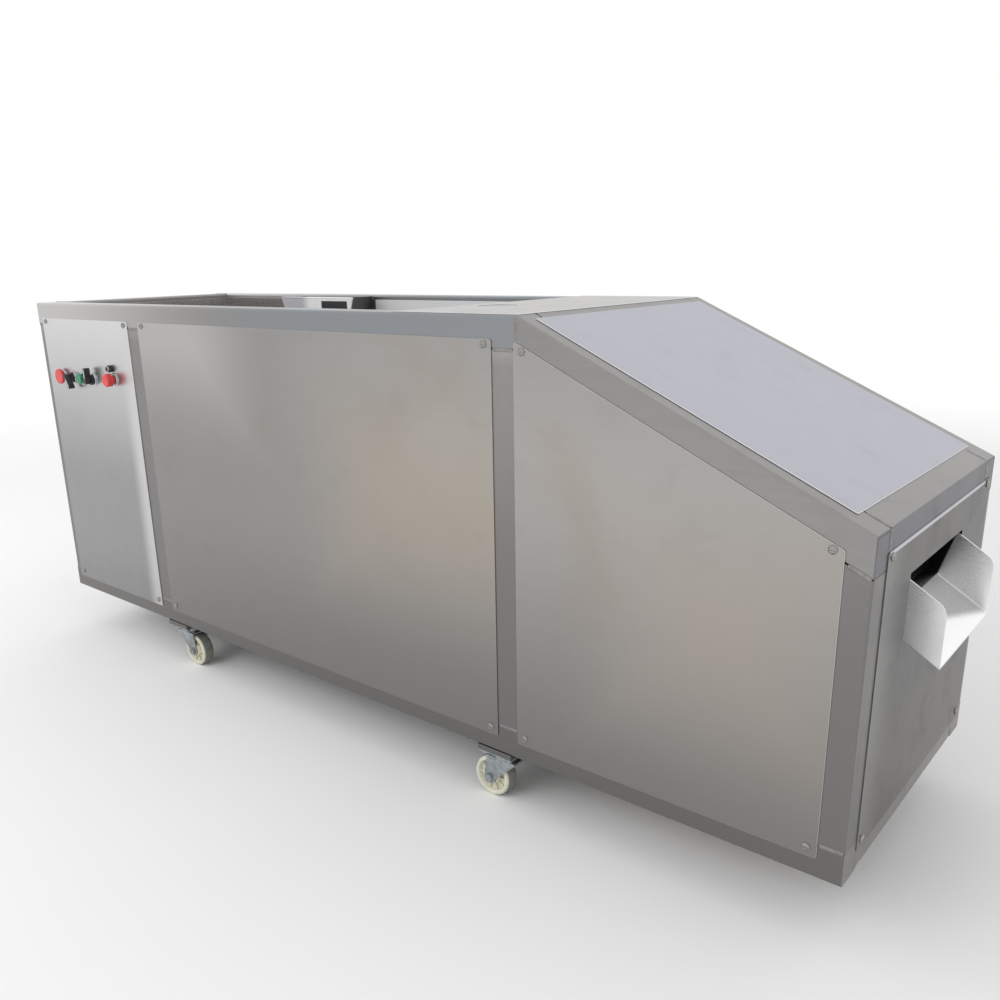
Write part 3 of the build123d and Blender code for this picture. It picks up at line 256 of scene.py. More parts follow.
def turned(profile, segments, closed=True):
    """Ring made by carrying a circle through the profile's radii and heights."""
    deselect()
    radius, height = profile[0]
    bpy.ops.mesh.primitive_circle_add(vertices=segments, radius=radius, location=(0, 0, height))
    piece = settle(bpy.context.object)
    bpy.ops.object.mode_set(mode="EDIT")
    bpy.ops.mesh.select_mode(type="VERT")
    bpy.ops.mesh.select_all(action="SELECT")
    steps = list(profile[1:]) + ([profile[0]] if closed else [])
    for next_radius, next_height in steps:
        bpy.ops.mesh.extrude_region_move(TRANSFORM_OT_translate={"value": (0, 0, next_height - height)})
        scale = next_radius / radius
        bpy.ops.transform.resize(value=(scale, scale, 1), center_override=(0, 0, next_height))
        radius, height = next_radius, next_height
    bpy.ops.mesh.select_all(action="SELECT")
    bpy.ops.mesh.remove_doubles(threshold=1e-6)
    if not closed:
        bpy.ops.mesh.fill_holes(sides=0)
    bpy.ops.mesh.normals_make_consistent(inside=False)
    bpy.ops.object.mode_set(mode="OBJECT")
    return piece


def round_edges(width, segments=2):
    """Bevel every edge of the active piece."""
    bpy.ops.object.mode_set(mode="EDIT")
    bpy.ops.mesh.select_all(action="SELECT")
    bpy.ops.mesh.bevel(offset=width, segments=segments, affect="EDGES")
    bpy.ops.object.mode_set(mode="OBJECT")


def bar(size, place, rounding, segments=2):
    """Small block with rounded edges."""
    deselect()
    bpy.ops.mesh.primitive_cube_add(size=1, location=place)
    piece = bpy.context.object
    piece.scale = size
    settle(piece)
    round_edges(rounding, segments)
    return piece


def rolled_edge(start, end, radius):
    """Thin rounded hem between two points."""
    start, end = Vector(start), Vector(end)
    length = (end - start).length
    tip = radius * 0.55
    profile = [(tip, 0), (radius, radius), (radius, length - radius), (tip, length)]
    return place_at(turned(profile, 12, closed=False), start, end - start)


def soften(name, width, *looks):
    """Replace a node by a merged copy with rounded edges, on which a second material goes."""
    flat_angle, sharp_angle = math.radians(0.3), math.radians(30)
    piece = nodes[name].copy()
    piece.data = piece.data.copy()
    piece.parent = None
    bpy.context.scene.collection.objects.link(piece)
    pick(piece)
    bpy.ops.object.mode_set(mode="EDIT")
    bpy.ops.mesh.select_all(action="SELECT")
    bpy.ops.mesh.remove_doubles(threshold=1e-6)
    bpy.ops.mesh.dissolve_limited(angle_limit=flat_angle)
    bpy.ops.object.mode_set(mode="OBJECT")
    put_on(piece, looks)
    modify(
        piece, "BEVEL", width=width, segments=2, material=len(looks) - 1, limit_method="ANGLE",
        angle_limit=sharp_angle)
    for key in [key for key in piece.keys() if key.startswith("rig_")]:
        del piece[key]
    finish_piece(piece, f"{name}_finished", looks, body_of_node[name], 50, weighted=True)
    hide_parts(name)


def dress(look, *names):
    """Give nodes a material."""
    for name in names:
        for slot in nodes[name].material_slots:
            slot.material = materials[look]


# Material helpers


GRAIN_X, GRAIN_Y, GRAIN_Z, GRAIN_EVEN = (5, 800, 800), (800, 5, 800), (800, 800, 5), (300, 300, 300)
ALONG, ACROSS, UP = (1, 0, 0), (0, 1, 0), (0, 0, 1)
# Sockets of a colour mix, which share their names with others
FIRST_COLOUR, SECOND_COLOUR, MIXED_COLOUR = 6, 7, 2
# Depths of the finest relief
SCRATCH, SKIN = 0.0003, 0.0002


def feed(tree, node, values):
    """Set a node's inputs, each to a value or to another node's output, given as (node, socket)."""
    for key, value in values.items():
        if isinstance(value, tuple) and isinstance(value[0], bpy.types.Node):
            source, socket = value
            tree.links.new(source.outputs[socket], node.inputs[key])
        else:
            node.inputs[key].default_value = value


def add(tree, kind, values=None, **settings):
    """Node with its settings and its inputs."""
    node = tree.nodes.new(kind)
    for key, value in settings.items():
        setattr(node, key, value)
    feed(tree, node, values or {})
    return node


def maths(tree, operation, *values):
    """Result of a calculation with numbers."""
    return add(tree, "ShaderNodeMath", dict(enumerate(values)), operation=operation), "Value"


def vector_maths(tree, operation, *values, result="Vector"):
    """Result of a calculation with vectors."""
    return add(tree, "ShaderNodeVectorMath", dict(enumerate(values)), operation=operation), result


def ramp(tree, value, start, end, low=0.0, high=1.0, kind="SMOOTHSTEP"):
    """A value carried from between start and end to between low and high."""
    values = {"Value": value, "From Min": start, "From Max": end, "To Min": low, "To Max": high}
    return add(tree, "ShaderNodeMapRange", values, interpolation_type=kind), "Result"


def gloss(tree, mask, low, high):
    """Roughness between two values, by a mask."""
    return ramp(tree, mask, 0.0, 1.0, low, high, "LINEAR")


def relief(tree, height, strength, depth):
    """Normal of a surface with fine relief."""
    return add(tree, "ShaderNodeBump", {"Height": height, "Strength": strength, "Distance": depth}), "Normal"


def start_group(name, output, **inputs):
    """Shader node group with a place on the object, further inputs with their defaults and one output."""
    group = bpy.data.node_groups.new(name, "ShaderNodeTree")
    group.interface.new_socket(name="Vector", in_out="INPUT", socket_type="NodeSocketVector")
    for socket, default in inputs.items():
        kind = "NodeSocketVector" if isinstance(default, tuple) else "NodeSocketFloat"
        made = group.interface.new_socket(name=socket, in_out="INPUT", socket_type=kind)
        made.default_value = default
    group.interface.new_socket(name=output, in_out="OUTPUT", socket_type="NodeSocketFloat")
    return group, add(group, "NodeGroupInput")


def grain_group():
    """Fine streaks of brushed metal, long in one direction."""
    group, given = start_group("brushed grain", "Streaks", Stretch=(6, 900, 900))
    mapping = add(group, "ShaderNodeMapping", {"Vector": (given, "Vector"), "Scale": (given, "Stretch")})
    streaks = []
    for scale, roughness in ((1.0, 0.6), (0.16, 0.5)):
        values = {"Vector": (mapping, "Vector"), "Scale": scale, "Detail": 2.0, "Roughness": roughness}
        streaks.append((add(group, "ShaderNodeTexNoise", values), "Fac"))
    both = maths(group, "ADD", *streaks)
    add(group, "NodeGroupOutput", {"Streaks": maths(group, "MULTIPLY", both, 0.5)})
    return group


def marks_group():
    """Soft cloudy marks of handling and wiping."""
    group, given = start_group("handling marks", "Marks", Size=3.0, Low=0.42, High=0.72)
    values = {"Scale": (given, "Size"), "Detail": 5.0, "Roughness": 0.55, "Distortion": 0.5}
    noise = add(group, "ShaderNodeTexNoise", {"Vector": (given, "Vector"), **values})
    add(group, "NodeGroupOutput", {"Marks": ramp(group, (noise, "Fac"), (given, "Low"), (given, "High"))})
    return group


def band_group():
    """Broken-up band round a height, such as a ground joint or a foot darkened by soiling and painted shade."""
    group, given = start_group("level band", "Mask", Level=0.1, Reach=0.1)
    parts = add(group, "ShaderNodeSeparateXYZ", {"Vector": (given, "Vector")})
    away = maths(group, "ABSOLUTE", maths(group, "SUBTRACT", (parts, "Z"), (given, "Level")))
    near = ramp(group, away, 0.0, (given, "Reach"), low=1.0, high=0.0)
    noise = add(group, "ShaderNodeTexNoise", {"Vector": (given, "Vector"), "Scale": 38.0, "Detail": 4.0})
    add(group, "NodeGroupOutput", {"Mask": maths(group, "MULTIPLY", near, (noise, "Fac"))})
    return group


def region_group():
    """Box with a soft border, such as a place with painted shade or a painted highlight."""
    group, given = start_group("soft region", "Mask", Low=(0, 0, 0), High=(1, 1, 1), Softness=0.1)
    from_low = vector_maths(group, "SUBTRACT", (given, "Vector"), (given, "Low"))
    from_high = vector_maths(group, "SUBTRACT", (given, "High"), (given, "Vector"))
    nearest = vector_maths(group, "MINIMUM", from_low, from_high)
    parts = add(group, "ShaderNodeSeparateXYZ", {"Vector": nearest})
    inside = maths(group, "MINIMUM", maths(group, "MINIMUM", (parts, "X"), (parts, "Y")), (parts, "Z"))
    add(group, "NodeGroupOutput", {"Mask": ramp(group, inside, 0.0, (given, "Softness"))})
    return group


GROUP_MAKERS = {
    "brushed grain": grain_group, "handling marks": marks_group, "level band": band_group,
    "soft region": region_group,
}


def effect(tree, name, place, **values):
    """Place a shared effect in a material and give its only output."""
    group = bpy.data.node_groups.get(name) or GROUP_MAKERS[name]()
    return add(tree, "ShaderNodeGroup", {"Vector": place, **values}, node_tree=group), 0


def start_material(name, **values):
    """Material with its tree, its Principled shader and the place on the object."""
    material = bpy.data.materials.new(name)
    material.use_nodes = True
    tree = material.node_tree
    tree.nodes.clear()
    shader = add(tree, "ShaderNodeBsdfPrincipled", values)
    add(tree, "ShaderNodeOutputMaterial", {"Surface": (shader, "BSDF")})
    return material, tree, shader, (add(tree, "ShaderNodeTexCoord"), "Object")


def shade(colour, factor):
    """The colour made lighter or darker, with alpha."""
    return tuple(min(1.0, part * factor) for part in colour[:3]) + (1.0,)


def blend(tree, mask, first, second, amount=1.0):
    """Mix two colours by a mask."""
    if amount != 1.0:
        mask = maths(tree, "MULTIPLY", mask, amount)
    values = {"Factor": mask, FIRST_COLOUR: first, SECOND_COLOUR: second}
    return add(tree, "ShaderNodeMix", values, data_type="RGBA"), MIXED_COLOUR


def steel(
        name, colour, roughness, stretch, contrast=0.10, marks=0.10, warm=None, foot_soiling_and_shade=0.0, bump=0.12,
        metallic=1.0):
    """Brushed or satin steel with streaks, wiping marks and a darker foot, part soiling and part painted shade."""
    smoother, rougher, foot_soiling_and_shade_colour = roughness - 0.06, roughness + 0.08, (0.16, 0.14, 0.12, 1)
    material, tree, shader, place = start_material(name, Metallic=metallic)
    grain = effect(tree, "brushed grain", place, Stretch=stretch)
    cloud = effect(tree, "handling marks", place, Size=3.2)
    small = effect(tree, "handling marks", place, Size=17.0, Low=0.5, High=0.8)
    base = blend(tree, grain, shade(colour, 1 - contrast), shade(colour, 1 + contrast))
    base = blend(tree, cloud, base, shade(warm or colour, 0.92), marks * 4)
    base = blend(tree, small, base, shade(colour, 0.80), marks * 1.6)
    # Darker foot: part soiling, part painted shade.
    if foot_soiling_and_shade:
        foot = effect(tree, "level band", place, Level=BASE, Reach=0.16)
        base = blend(tree, foot, base, foot_soiling_and_shade_colour, foot_soiling_and_shade)
    wear = maths(tree, "MULTIPLY", maths(tree, "ADD", grain, small), 0.5)
    feed(tree, shader, {
        "Base Color": base,
        "Roughness": gloss(tree, wear, smoother, rougher),
        "Normal": relief(tree, grain, bump, SCRATCH),
    })
    return material


def base_of(material):
    """The tree of a material, its shader, the place on the object and its base colour."""
    tree = material.node_tree
    shader = next(node for node in tree.nodes if node.type == "BSDF_PRINCIPLED")
    place = next(node for node in tree.nodes if node.type == "TEX_COORD")
    return tree, shader, (place, "Object"), (shader.inputs["Base Color"].links[0].from_node, MIXED_COLOUR)


def tone(material, way, start, end, colour, amount=1.0):
    """Blend a material's base colour towards another one along a direction."""
    tree, shader, place, base = base_of(material)
    along = vector_maths(tree, "DOT_PRODUCT", place, way, result="Value")
    feed(tree, shader, {"Base Color": blend(tree, ramp(tree, along, start, end), base, colour, amount)})


def tone_effect(material, name, colour, amount, **values):
    """Blend a material's base colour towards another one by a shared effect."""
    tree, shader, place, base = base_of(material)
    mask = effect(tree, name, place, **values)
    feed(tree, shader, {"Base Color": blend(tree, mask, base, colour, amount)})


def tone_region(material, low, high, softness, colour, amount):
    """Blend a material's base colour towards another one inside a box with a soft border."""
    tone_effect(material, "soft region", colour, amount, Low=low, High=high, Softness=softness)


def tube_steel(name, colour, stretch, levels=()):
    """Satin tube with ground patches at the levels where tubes are welded."""
    material = steel(name, colour, 0.36, stretch, contrast=0.12, marks=0.08, foot_soiling_and_shade=0.5, bump=0.10)
    for level in levels:
        tone_effect(material, "level band", shade(colour, 1.5), 0.75, Level=level, Reach=0.030)
    return material


def plastic(name, colour, roughness, mottle=0.08, bump=0.05, grain=900.0, coat=0.0):
    """Moulded plastic or paint with faint mottling and a fine skin."""
    values = {"Metallic": 0.0, "Coat Weight": coat, "Coat Roughness": 0.08}
    material, tree, shader, place = start_material(name, **values)
    cloud = effect(tree, "handling marks", place, Size=60.0, Low=0.35, High=0.75)
    skin = add(tree, "ShaderNodeTexNoise", {"Vector": place, "Scale": grain, "Detail": 2.0})
    feed(tree, shader, {
        "Base Color": blend(tree, cloud, shade(colour, 1 - mottle), shade(colour, 1 + mottle)),
        "Roughness": gloss(tree, cloud, roughness, roughness + 0.12),
        "Normal": relief(tree, (skin, "Fac"), bump, SKIN),
    })
    return material


def zinc(name, colour):
    """Zinc plating with its spangle."""
    material, tree, shader, place = start_material(name, Metallic=1.0)
    spangle = add(tree, "ShaderNodeTexVoronoi", {"Vector": place, "Scale": 130.0})
    values = add(tree, "ShaderNodeSeparateColor", {"Color": (spangle, "Color")})
    cloud = effect(tree, "handling marks", place, Size=30.0)
    base = blend(tree, (values, "Red"), shade(colour, 0.82), shade(colour, 1.18))
    feed(tree, shader, {
        "Base Color": blend(tree, cloud, base, shade(colour, 0.62), 0.5),
        "Roughness": gloss(tree, (values, "Green"), 0.26, 0.42),
    })
    return material


def belt_material(name):
    """Food belt with a fine weave and faint stains."""
    dark_thread, light_thread, stain = (0.50, 0.52, 0.47, 1), (0.62, 0.64, 0.58, 1), (0.42, 0.38, 0.26, 1)
    material, tree, shader, place = start_material(name, Metallic=0.0)
    cloud = effect(tree, "handling marks", place, Size=14.0)
    values = {"Vector": place, "Scale": 260.0, "Distortion": 0.4}
    threads = [(add(tree, "ShaderNodeTexWave", values, bands_direction=way), "Fac") for way in "XY"]
    weave = maths(tree, "MULTIPLY", *threads)
    base = blend(tree, weave, dark_thread, light_thread)
    feed(tree, shader, {
        "Base Color": blend(tree, cloud, base, stain, 0.45),
        "Roughness": gloss(tree, cloud, 0.45, 0.65),
        "Normal": relief(tree, weave, 0.4, SCRATCH),
    })
    return material


def weld_material(name, colour):
    """Weld metal with straw and blue heat colours."""
    straw, blue = (0.27, 0.25, 0.22, 1), (0.20, 0.21, 0.26, 1)
    material, tree, shader, place = start_material(name, Metallic=1.0)
    cloud = effect(tree, "handling marks", place, Size=120.0, Low=0.3, High=0.7)
    broad = effect(tree, "handling marks", place, Size=26.0)
    base = blend(tree, cloud, shade(colour, 1.1), straw)
    feed(tree, shader, {
        "Base Color": blend(tree, broad, base, blue, 0.6),
        "Roughness": gloss(tree, cloud, 0.22, 0.45),
    })
    return material


# Operators


class PEELER_OT_finishes(bpy.types.Operator):
    """Make the machine's finishes"""
    bl_idname = "peeler.finishes"
    bl_label = "Finishes"

    def execute(self, context):
        colours = context.scene.peeler_colours
        self.tubes(colours.tube)
        self.control_sheet(colours.control)
        self.side_sheets(colours.sheet, colours.warm)
        self.end_sheet(colours.sheet, colours.warm)
        self.feed_sheets()
        self.trough(colours.trough)
        self.plain_steels(colours)
        self.coatings(colours)
        return {"FINISHED"}

    def tubes(self, tube):
        """Frame tubes with painted light: a painted highlight by the controls, a painted cool reflection past
        them, and painted shade low down and on the outlet end's faces.
        """
        for key, name, stretch, levels in (
            ("top_rail", "satin top tube", GRAIN_X, ()), ("low_rail", "satin low tube", GRAIN_X, ()),
            ("slope_rail", "satin slope tube", GRAIN_X, ()), ("tube_y", "satin tube across", GRAIN_Y, ()),
            ("tube_z", "satin tube upright", GRAIN_Z, (BASE + TUBE, TOP - TUBE)),
        ):
            materials[key] = tube_steel(name, tube, stretch, levels)
        painted_cool_reflection, painted_end_face_shade = (0.275, 0.300, 0.325, 1), (0.150, 0.148, 0.165, 1)
        painted_highlight_end, cold_start, cold_end = CONTROL_POST + 0.45, CONTROL_POST + 0.20, CONTROL_POST + 0.60
        knee = BASE + 0.30
        # Painted highlight on the top rails towards the feed end, then a painted cool reflection along the middle.
        tone(materials["top_rail"], ALONG, painted_highlight_end, LEFT, shade(tube, 2.0))
        tone(materials["top_rail"], ALONG, cold_start, cold_end, painted_cool_reflection, 0.7)
        # Painted shade on the low rails and the lower posts.
        tone(materials["low_rail"], UP, knee, BASE + TUBE, shade(tube, 0.62))
        tone(materials["tube_z"], UP, TOP, knee, shade(tube, 0.70))
        # Painted shade on the outward faces of the outlet end's tubes.
        end_face, under_slope = RIGHT - 0.001, SLOPE_END - 0.08
        for key in ("tube_y", "slope_rail"):
            low = (end_face, -FAR, under_slope)
            tone_region(materials[key], low, (FAR, FAR, FAR), 0.0005, painted_end_face_shade, 0.95)

    def control_sheet(self, control):
        """Sheet with a painted highlight that grows upwards and a painted highlight along its inner edge."""
        material = steel("brushed control sheet", control, BRUSHED, GRAIN_Z, 0.05, 0.06, control, SHEET_FOOT_SOILING_AND_SHADE)
        knee, strip, edge = BASE + 0.30, CONTROL_POST - 0.055, CONTROL_POST - 0.006
        # Painted highlights: brighter upwards, and along the edge by the control post where a bend would catch the
        # light.
        tone(material, UP, knee, TOP, shade(control, 2.45))
        tone(material, ALONG, strip, edge, shade(control, 2.3), 0.6)
        materials["control_sheet"] = material

    def side_sheets(self, sheet, warm):
        """Side sheets with painted shade towards the foot and the control post, a painted highlight in the upper
        corner and faint painted reflections on the front.
        """
        level, sloped = (
            steel(name, sheet, BRUSHED, GRAIN_X, 0.06, 0.14, warm, SHEET_FOOT_SOILING_AND_SHADE)
            for name in ("brushed outer sheet", "brushed slope side"))
        shaded = shade(sheet, 0.62)
        # Painted shade: darker towards the foot and towards the control post.
        tone(level, UP, BASE + 0.60, BASE + 0.05, shade(sheet, 0.64), 0.95)
        tone(level, ALONG, RIDGE - 0.25, CONTROL_POST + 0.20, shaded, 0.5)
        tone(sloped, UP, BASE + 0.56, BASE, shade(sheet, 0.66), 0.9)
        front = 0.05
        painted_warm_reflection_level, painted_warm_reflection_sloped = (0.395, 0.345, 0.285, 1), (0.42, 0.37, 0.325, 1)
        # Material, low corner, high corner, softness, colour and amount: a painted highlight in the upper corner,
        # then painted reflections on the front, one darker and two warm
        patches = (
            (level, (-FAR, -FAR, TOP - 0.34), (CONTROL_POST + 0.50, FAR, FAR), 0.30, shade(sheet, 1.4), 0.9),
            (level, (CONTROL_POST - 0.10, -FAR, BASE + 0.22), (RIDGE - 0.16, front, BASE + 0.66), 0.20,
             shaded, 0.38),
            (level, (RIDGE - 0.56, -FAR, BASE + 0.12), (RIDGE + 0.24, front, BASE + 0.70), 0.28,
             painted_warm_reflection_level, 0.6),
            (sloped, (RIDGE + 0.06, -FAR, BASE + 0.04), (RIGHT + 0.08, front, BASE + 0.58), 0.26,
             painted_warm_reflection_sloped, 0.6),
        )
        for patch in patches:
            tone_region(*patch)
        materials["sheet"], materials["slope_sheet"] = level, sloped

    def end_sheet(self, sheet, warm):
        """End sheets: the outlet's is the darker one, in painted shade, with a painted lighter strip by the front
        and a painted highlight along its top edge.
        """
        # The base is a painted shade copy of the sheet; the feed end is brought back lighter below.
        painted_shade_sheet, painted_shade_marks, bright = shade(sheet, 0.28), shade(warm, 0.5), (0.66, 0.66, 0.71, 1)
        material = steel(
            "brushed end sheet", painted_shade_sheet, BRUSHED, GRAIN_Y, 0.06, 0.10, painted_shade_marks, SHEET_FOOT_SOILING_AND_SHADE)
        strip_start, strip_end, middle = FRONT + 0.14, FRONT + 0.04, 0.1
        # Painted light: a lighter strip by the front edge.
        tone(material, ACROSS, strip_start, strip_end, shade(sheet, 0.60))
        tone(material, ALONG, middle, -middle, shade(sheet, 0.66))
        post, edge = 0.05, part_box("outlet_end_panel")[1].z - 0.006
        # Painted highlight along the top edge.
        tone_region(material, (0.0, FRONT + post, edge), (FAR, BACK - post, FAR), 0.002, bright, 0.9)
        materials["end_sheet"] = material

    def feed_sheets(self):
        """Lining and guide of the feed opening, in painted shade where they stand inside the hopper and at the
        guide's left end.
        """
        liner, guide, painted_guide_end_shade = (0.72, 0.72, 0.73), (0.90, 0.90, 0.91), (0.48, 0.48, 0.52, 1)
        painted_inside_shade, margin, soft = (0.040, 0.040, 0.043, 1), 0.010, 0.003
        materials["liner"] = steel("scuffed lining sheet", liner, 0.48, GRAIN_X, 0.06, 0.10, metallic=0.5)
        materials["guide"] = steel("polished feed guide", guide, 0.35, GRAIN_Z, 0.04, 0.04, metallic=0.4)
        low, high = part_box("feed_hopper")
        inside = (low.x - margin, low.y + soft, BASE), (high.x + margin, BACK, FAR)
        # Painted shade inside the hopper.
        for key in ("liner", "guide"):
            tone_region(materials[key], *inside, soft, painted_inside_shade, 0.95)
        # Painted shade at the guide's left end.
        tone(materials["guide"], ALONG, low.x + 0.110, low.x + 0.075, painted_guide_end_shade, 0.9)

    def trough(self, colour):
        """Trough sheet with painted light: a bright far wall, painted shade on the floor and a lighter near wall,
        a painted white reflection by the lip and painted shade on the part inside the machine.
        """
        low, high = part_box("outlet_trough")
        polished, painted_inside_shade = (0.96, 0.96, 0.97, 1), (0.012, 0.012, 0.014, 1)
        wall, inner_wall, step = 0.0025, 0.0035, 0.001
        material = steel("bright trough sheet", shade(colour, 1.80), 0.30, GRAIN_X, 0.02, 0.02, bump=0.03)
        # Painted shade on the floor and near wall; the far wall keeps the bright colour.
        tone(material, ACROSS, high.y - wall, high.y - inner_wall, shade(colour, 0.60))
        lean_back = 1.26 * (high.x - RIGHT) / (high.y - low.y)
        lip = high.x - lean_back * high.y
        # Painted white reflection across the floor by the lip, not a polish.
        tone(material, (1, -lean_back, 0), lip - 0.010, lip + 0.004, polished)
        # Painted light that lifts the near wall above the floor.
        tone(material, ACROSS, low.y + inner_wall, low.y + wall, shade(colour, 1.20))
        lean_in = 0.30
        edge = RIGHT - lean_in * (low.z + (high.z - low.z) * 0.95)
        # Painted shade on the part inside the machine.
        tone(material, (1, 0, -lean_in), edge + step, edge - step, painted_inside_shade, 0.98)
        materials["trough"] = material

    def plain_steels(self, colours):
        """Steels that look alike all over."""
        # Key, name, colour, roughness, grain, contrast, marks and colour of the marks
        for key, *values in (
            # The rim's light colour is part the cut edge's own brightness, part a painted highlight.
            ("rim", "polished sheet edge", shade(colours.trough, 1.15), 0.22, GRAIN_X, 0.04, 0.04),
            # The slide's near-black colour is painted shade.
            ("slide", "stained slide sheet", (0.05, 0.05, 0.055), 0.45, GRAIN_X, 0.20, 0.12),
            ("slope", "pale slope sheet", colours.slope, 0.42, GRAIN_X, 0.04, 0.05, colours.slope),
            ("cover", "ridge cover sheet", colours.inner, BRUSHED, GRAIN_Y, 0.05, 0.08),
            ("inner", "inner sheet", colours.inner, 0.30, GRAIN_X, 0.06, 0.14, colours.warm),
            ("machined", "turned steel", colours.machined, 0.26, GRAIN_Y, 0.05, 0.06),
            ("knife", "ground knife steel", shade(colours.trough, 0.95), 0.16, GRAIN_Z, 0.08, 0.02),
            ("screw", "satin screw steel", shade(colours.sheet, 0.88), 0.30, GRAIN_EVEN, 0.05, 0.10),
        ):
            materials[key] = steel(*values)
        materials["weld"] = weld_material("weld metal", shade(colours.tube, 0.95))

    def coatings(self, colours):
        """Platings, plastics, paints and the belt."""
        materials["zinc"] = zinc("zinc plating", colours.zinc)
        materials["bezel"] = zinc("satin bezel metal", shade(colours.zinc, 1.4))
        fine = 900.0
        # Key, name, colour, roughness, mottling, bump, grain and coat
        for key, *values in (
            ("nylon", "cream nylon", colours.nylon, 0.42, 0.07, 0.08),
            # The tread's grey is part wear, part painted shade.
            ("tread", "worn nylon tread", (0.22, 0.22, 0.20), 0.55, 0.20, 0.20, 300.0),
            ("hub", "red hub plastic", (0.42, 0.07, 0.05), 0.45, 0.12),
            ("red", "red button plastic", colours.red, 0.22, 0.05, 0.02, fine, 0.4),
            ("green", "green button plastic", colours.green, 0.25, 0.05, 0.02, fine, 0.4),
            ("black", "black knob plastic", colours.black, 0.32, 0.20, 0.05, fine, 0.2),
            ("ivory", "pale marker inlay", (0.62, 0.66, 0.66), 0.35, 0.04),
            ("lens", "pale lamp lens", (0.52, 0.62, 0.60), 0.10, 0.05, 0.02, fine, 1.0),
            ("cabinet", "cabinet paint", (0.42, 0.43, 0.42), 0.40, 0.04, 0.35, 420.0),
            ("motor", "motor enamel", (0.035, 0.065, 0.10), 0.34, 0.10, 0.20, 300.0, 0.3),
            ("device", "switchgear plastic", (0.10, 0.10, 0.10), 0.45, 0.06),
        ):
            materials[key] = plastic(*values)
        materials["belt"] = belt_material("food belt")


class PEELER_OT_frame(bpy.types.Operator):
    """Dress the frame's tubes"""
    bl_idname = "peeler.frame"
    bl_label = "Frame"

    def execute(self, context):
        dress("top_rail", "top_rails")
        dress("low_rail", "bottom_rails", "caster_pads")
        dress("slope_rail", "slope_rails", "tube_end_caps")
        dress("tube_z", "posts")
        dress("tube_y", "cross_members")
        return {"FINISHED"}


def weld_lines():
    """Start, end and outward direction of each bead on the frame."""
    feed_run, outlet_run, ridge_run, slope_run, lap = 0.020, 0.035, 0.036, 0.034, 0.004
    top_run, foot_run, end_foot_run, end_top_run = 0.033, 0.019, 0.021, 0.030
    left, right, up = (-1, 0, 0), (1, 0, 0), (0, 0, 1)
    slope_way = (math.sin(SLOPE_ANGLE), 0, math.cos(SLOPE_ANGLE))
    lines = []
    low, high = RAIL_TOP, TOP - TUBE
    open_spans = (
        (LEFT, LEFT + feed_run), (CONTROL_POST + lap, CONTROL_POST + TUBE - lap),
        (MIDDLE_POST + lap, RIDGE - lap), (RIGHT - outlet_run, RIGHT),
    )
    for y, way in ((FRONT, (0, -1, 0)), (BACK, (0, 1, 0))):
        for start, end in open_spans:
            lines.append(((start, y, low), (end, y, low), way))
            if end < RIGHT:
                lines.append(((start, y, high), (end, y, high), way))
        lines.append(((RIDGE, y, TOP - ridge_run), (RIDGE, y, TOP), way))
        depth = TUBE / math.cos(SLOPE_ANGLE)
        edge = RIGHT - slope_run
        lines.append(((edge, y, slope_top(edge) - depth), (RIGHT, y, slope_top(RIGHT) - depth), way))
    near = RIGHT - top_run
    for y in (FRONT + TUBE, BACK - TUBE):
        lines += [
            ((LEFT, y, TOP), (LEFT + TUBE, y, TOP), up),
            ((LEFT, y, TOP - top_run), (LEFT, y, TOP), left),
            ((LEFT, y, BASE), (LEFT, y, BASE + foot_run), left),
            ((RIGHT, y, BASE), (RIGHT, y, BASE + end_foot_run), right),
            ((RIGHT, y, SLOPE_END - end_top_run), (RIGHT, y, SLOPE_END), right),
            ((near, y, slope_top(near)), (RIGHT, y, SLOPE_END), slope_way),
        ]
    return lines


def slope_top(x):
    """Height of the sloping rails' top at x."""
    return TOP - (x - RIDGE) * SLOPE_FALL


class PEELER_OT_welds(bpy.types.Operator):
    """Model the weld beads at the frame's open joints"""
    bl_idname = "peeler.welds"
    bl_label = "Welds"

    def execute(self, context):
        sizes = context.scene.peeler_welds
        pitch, overlap = sizes.pitch, 0.9
        beads = []
        for start, end, way in weld_lines():
            start, end = Vector(start), Vector(end)
            length = (end - start).length
            deselect()
            bpy.ops.mesh.primitive_uv_sphere_add(segments=10, ring_count=6, radius=1)
            bead = bpy.context.object
            bead.scale = (pitch * overlap, sizes.width / 2, sizes.height)
            settle(bead)
            count = max(2, round((length - 2 * pitch) / pitch))
            modify(
                bead, "ARRAY", count=count, use_relative_offset=False, use_constant_offset=True,
                constant_offset_displace=(pitch, 0, 0))
            along = (end - start).normalized()
            margin = (length - (count - 1) * pitch) / 2
            beads.append(place_at(bead, start + along * margin, way, along))
        finish_piece(joined(beads), "weld_beads", "weld", "machine", 50)
        return {"FINISHED"}


class PEELER_OT_sheets(bpy.types.Operator):
    """Round the edges of the outer sheets and dress them"""
    bl_idname = "peeler.sheets"
    bl_label = "Outer sheets"

    def execute(self, context):
        sizes = context.scene.peeler_edges
        for name, look in SHEETS.items():
            soften(name, sizes.rim_width, look, "rim")
        soften("panel_screws", sizes.sheet_round, "screw")
        return {"FINISHED"}


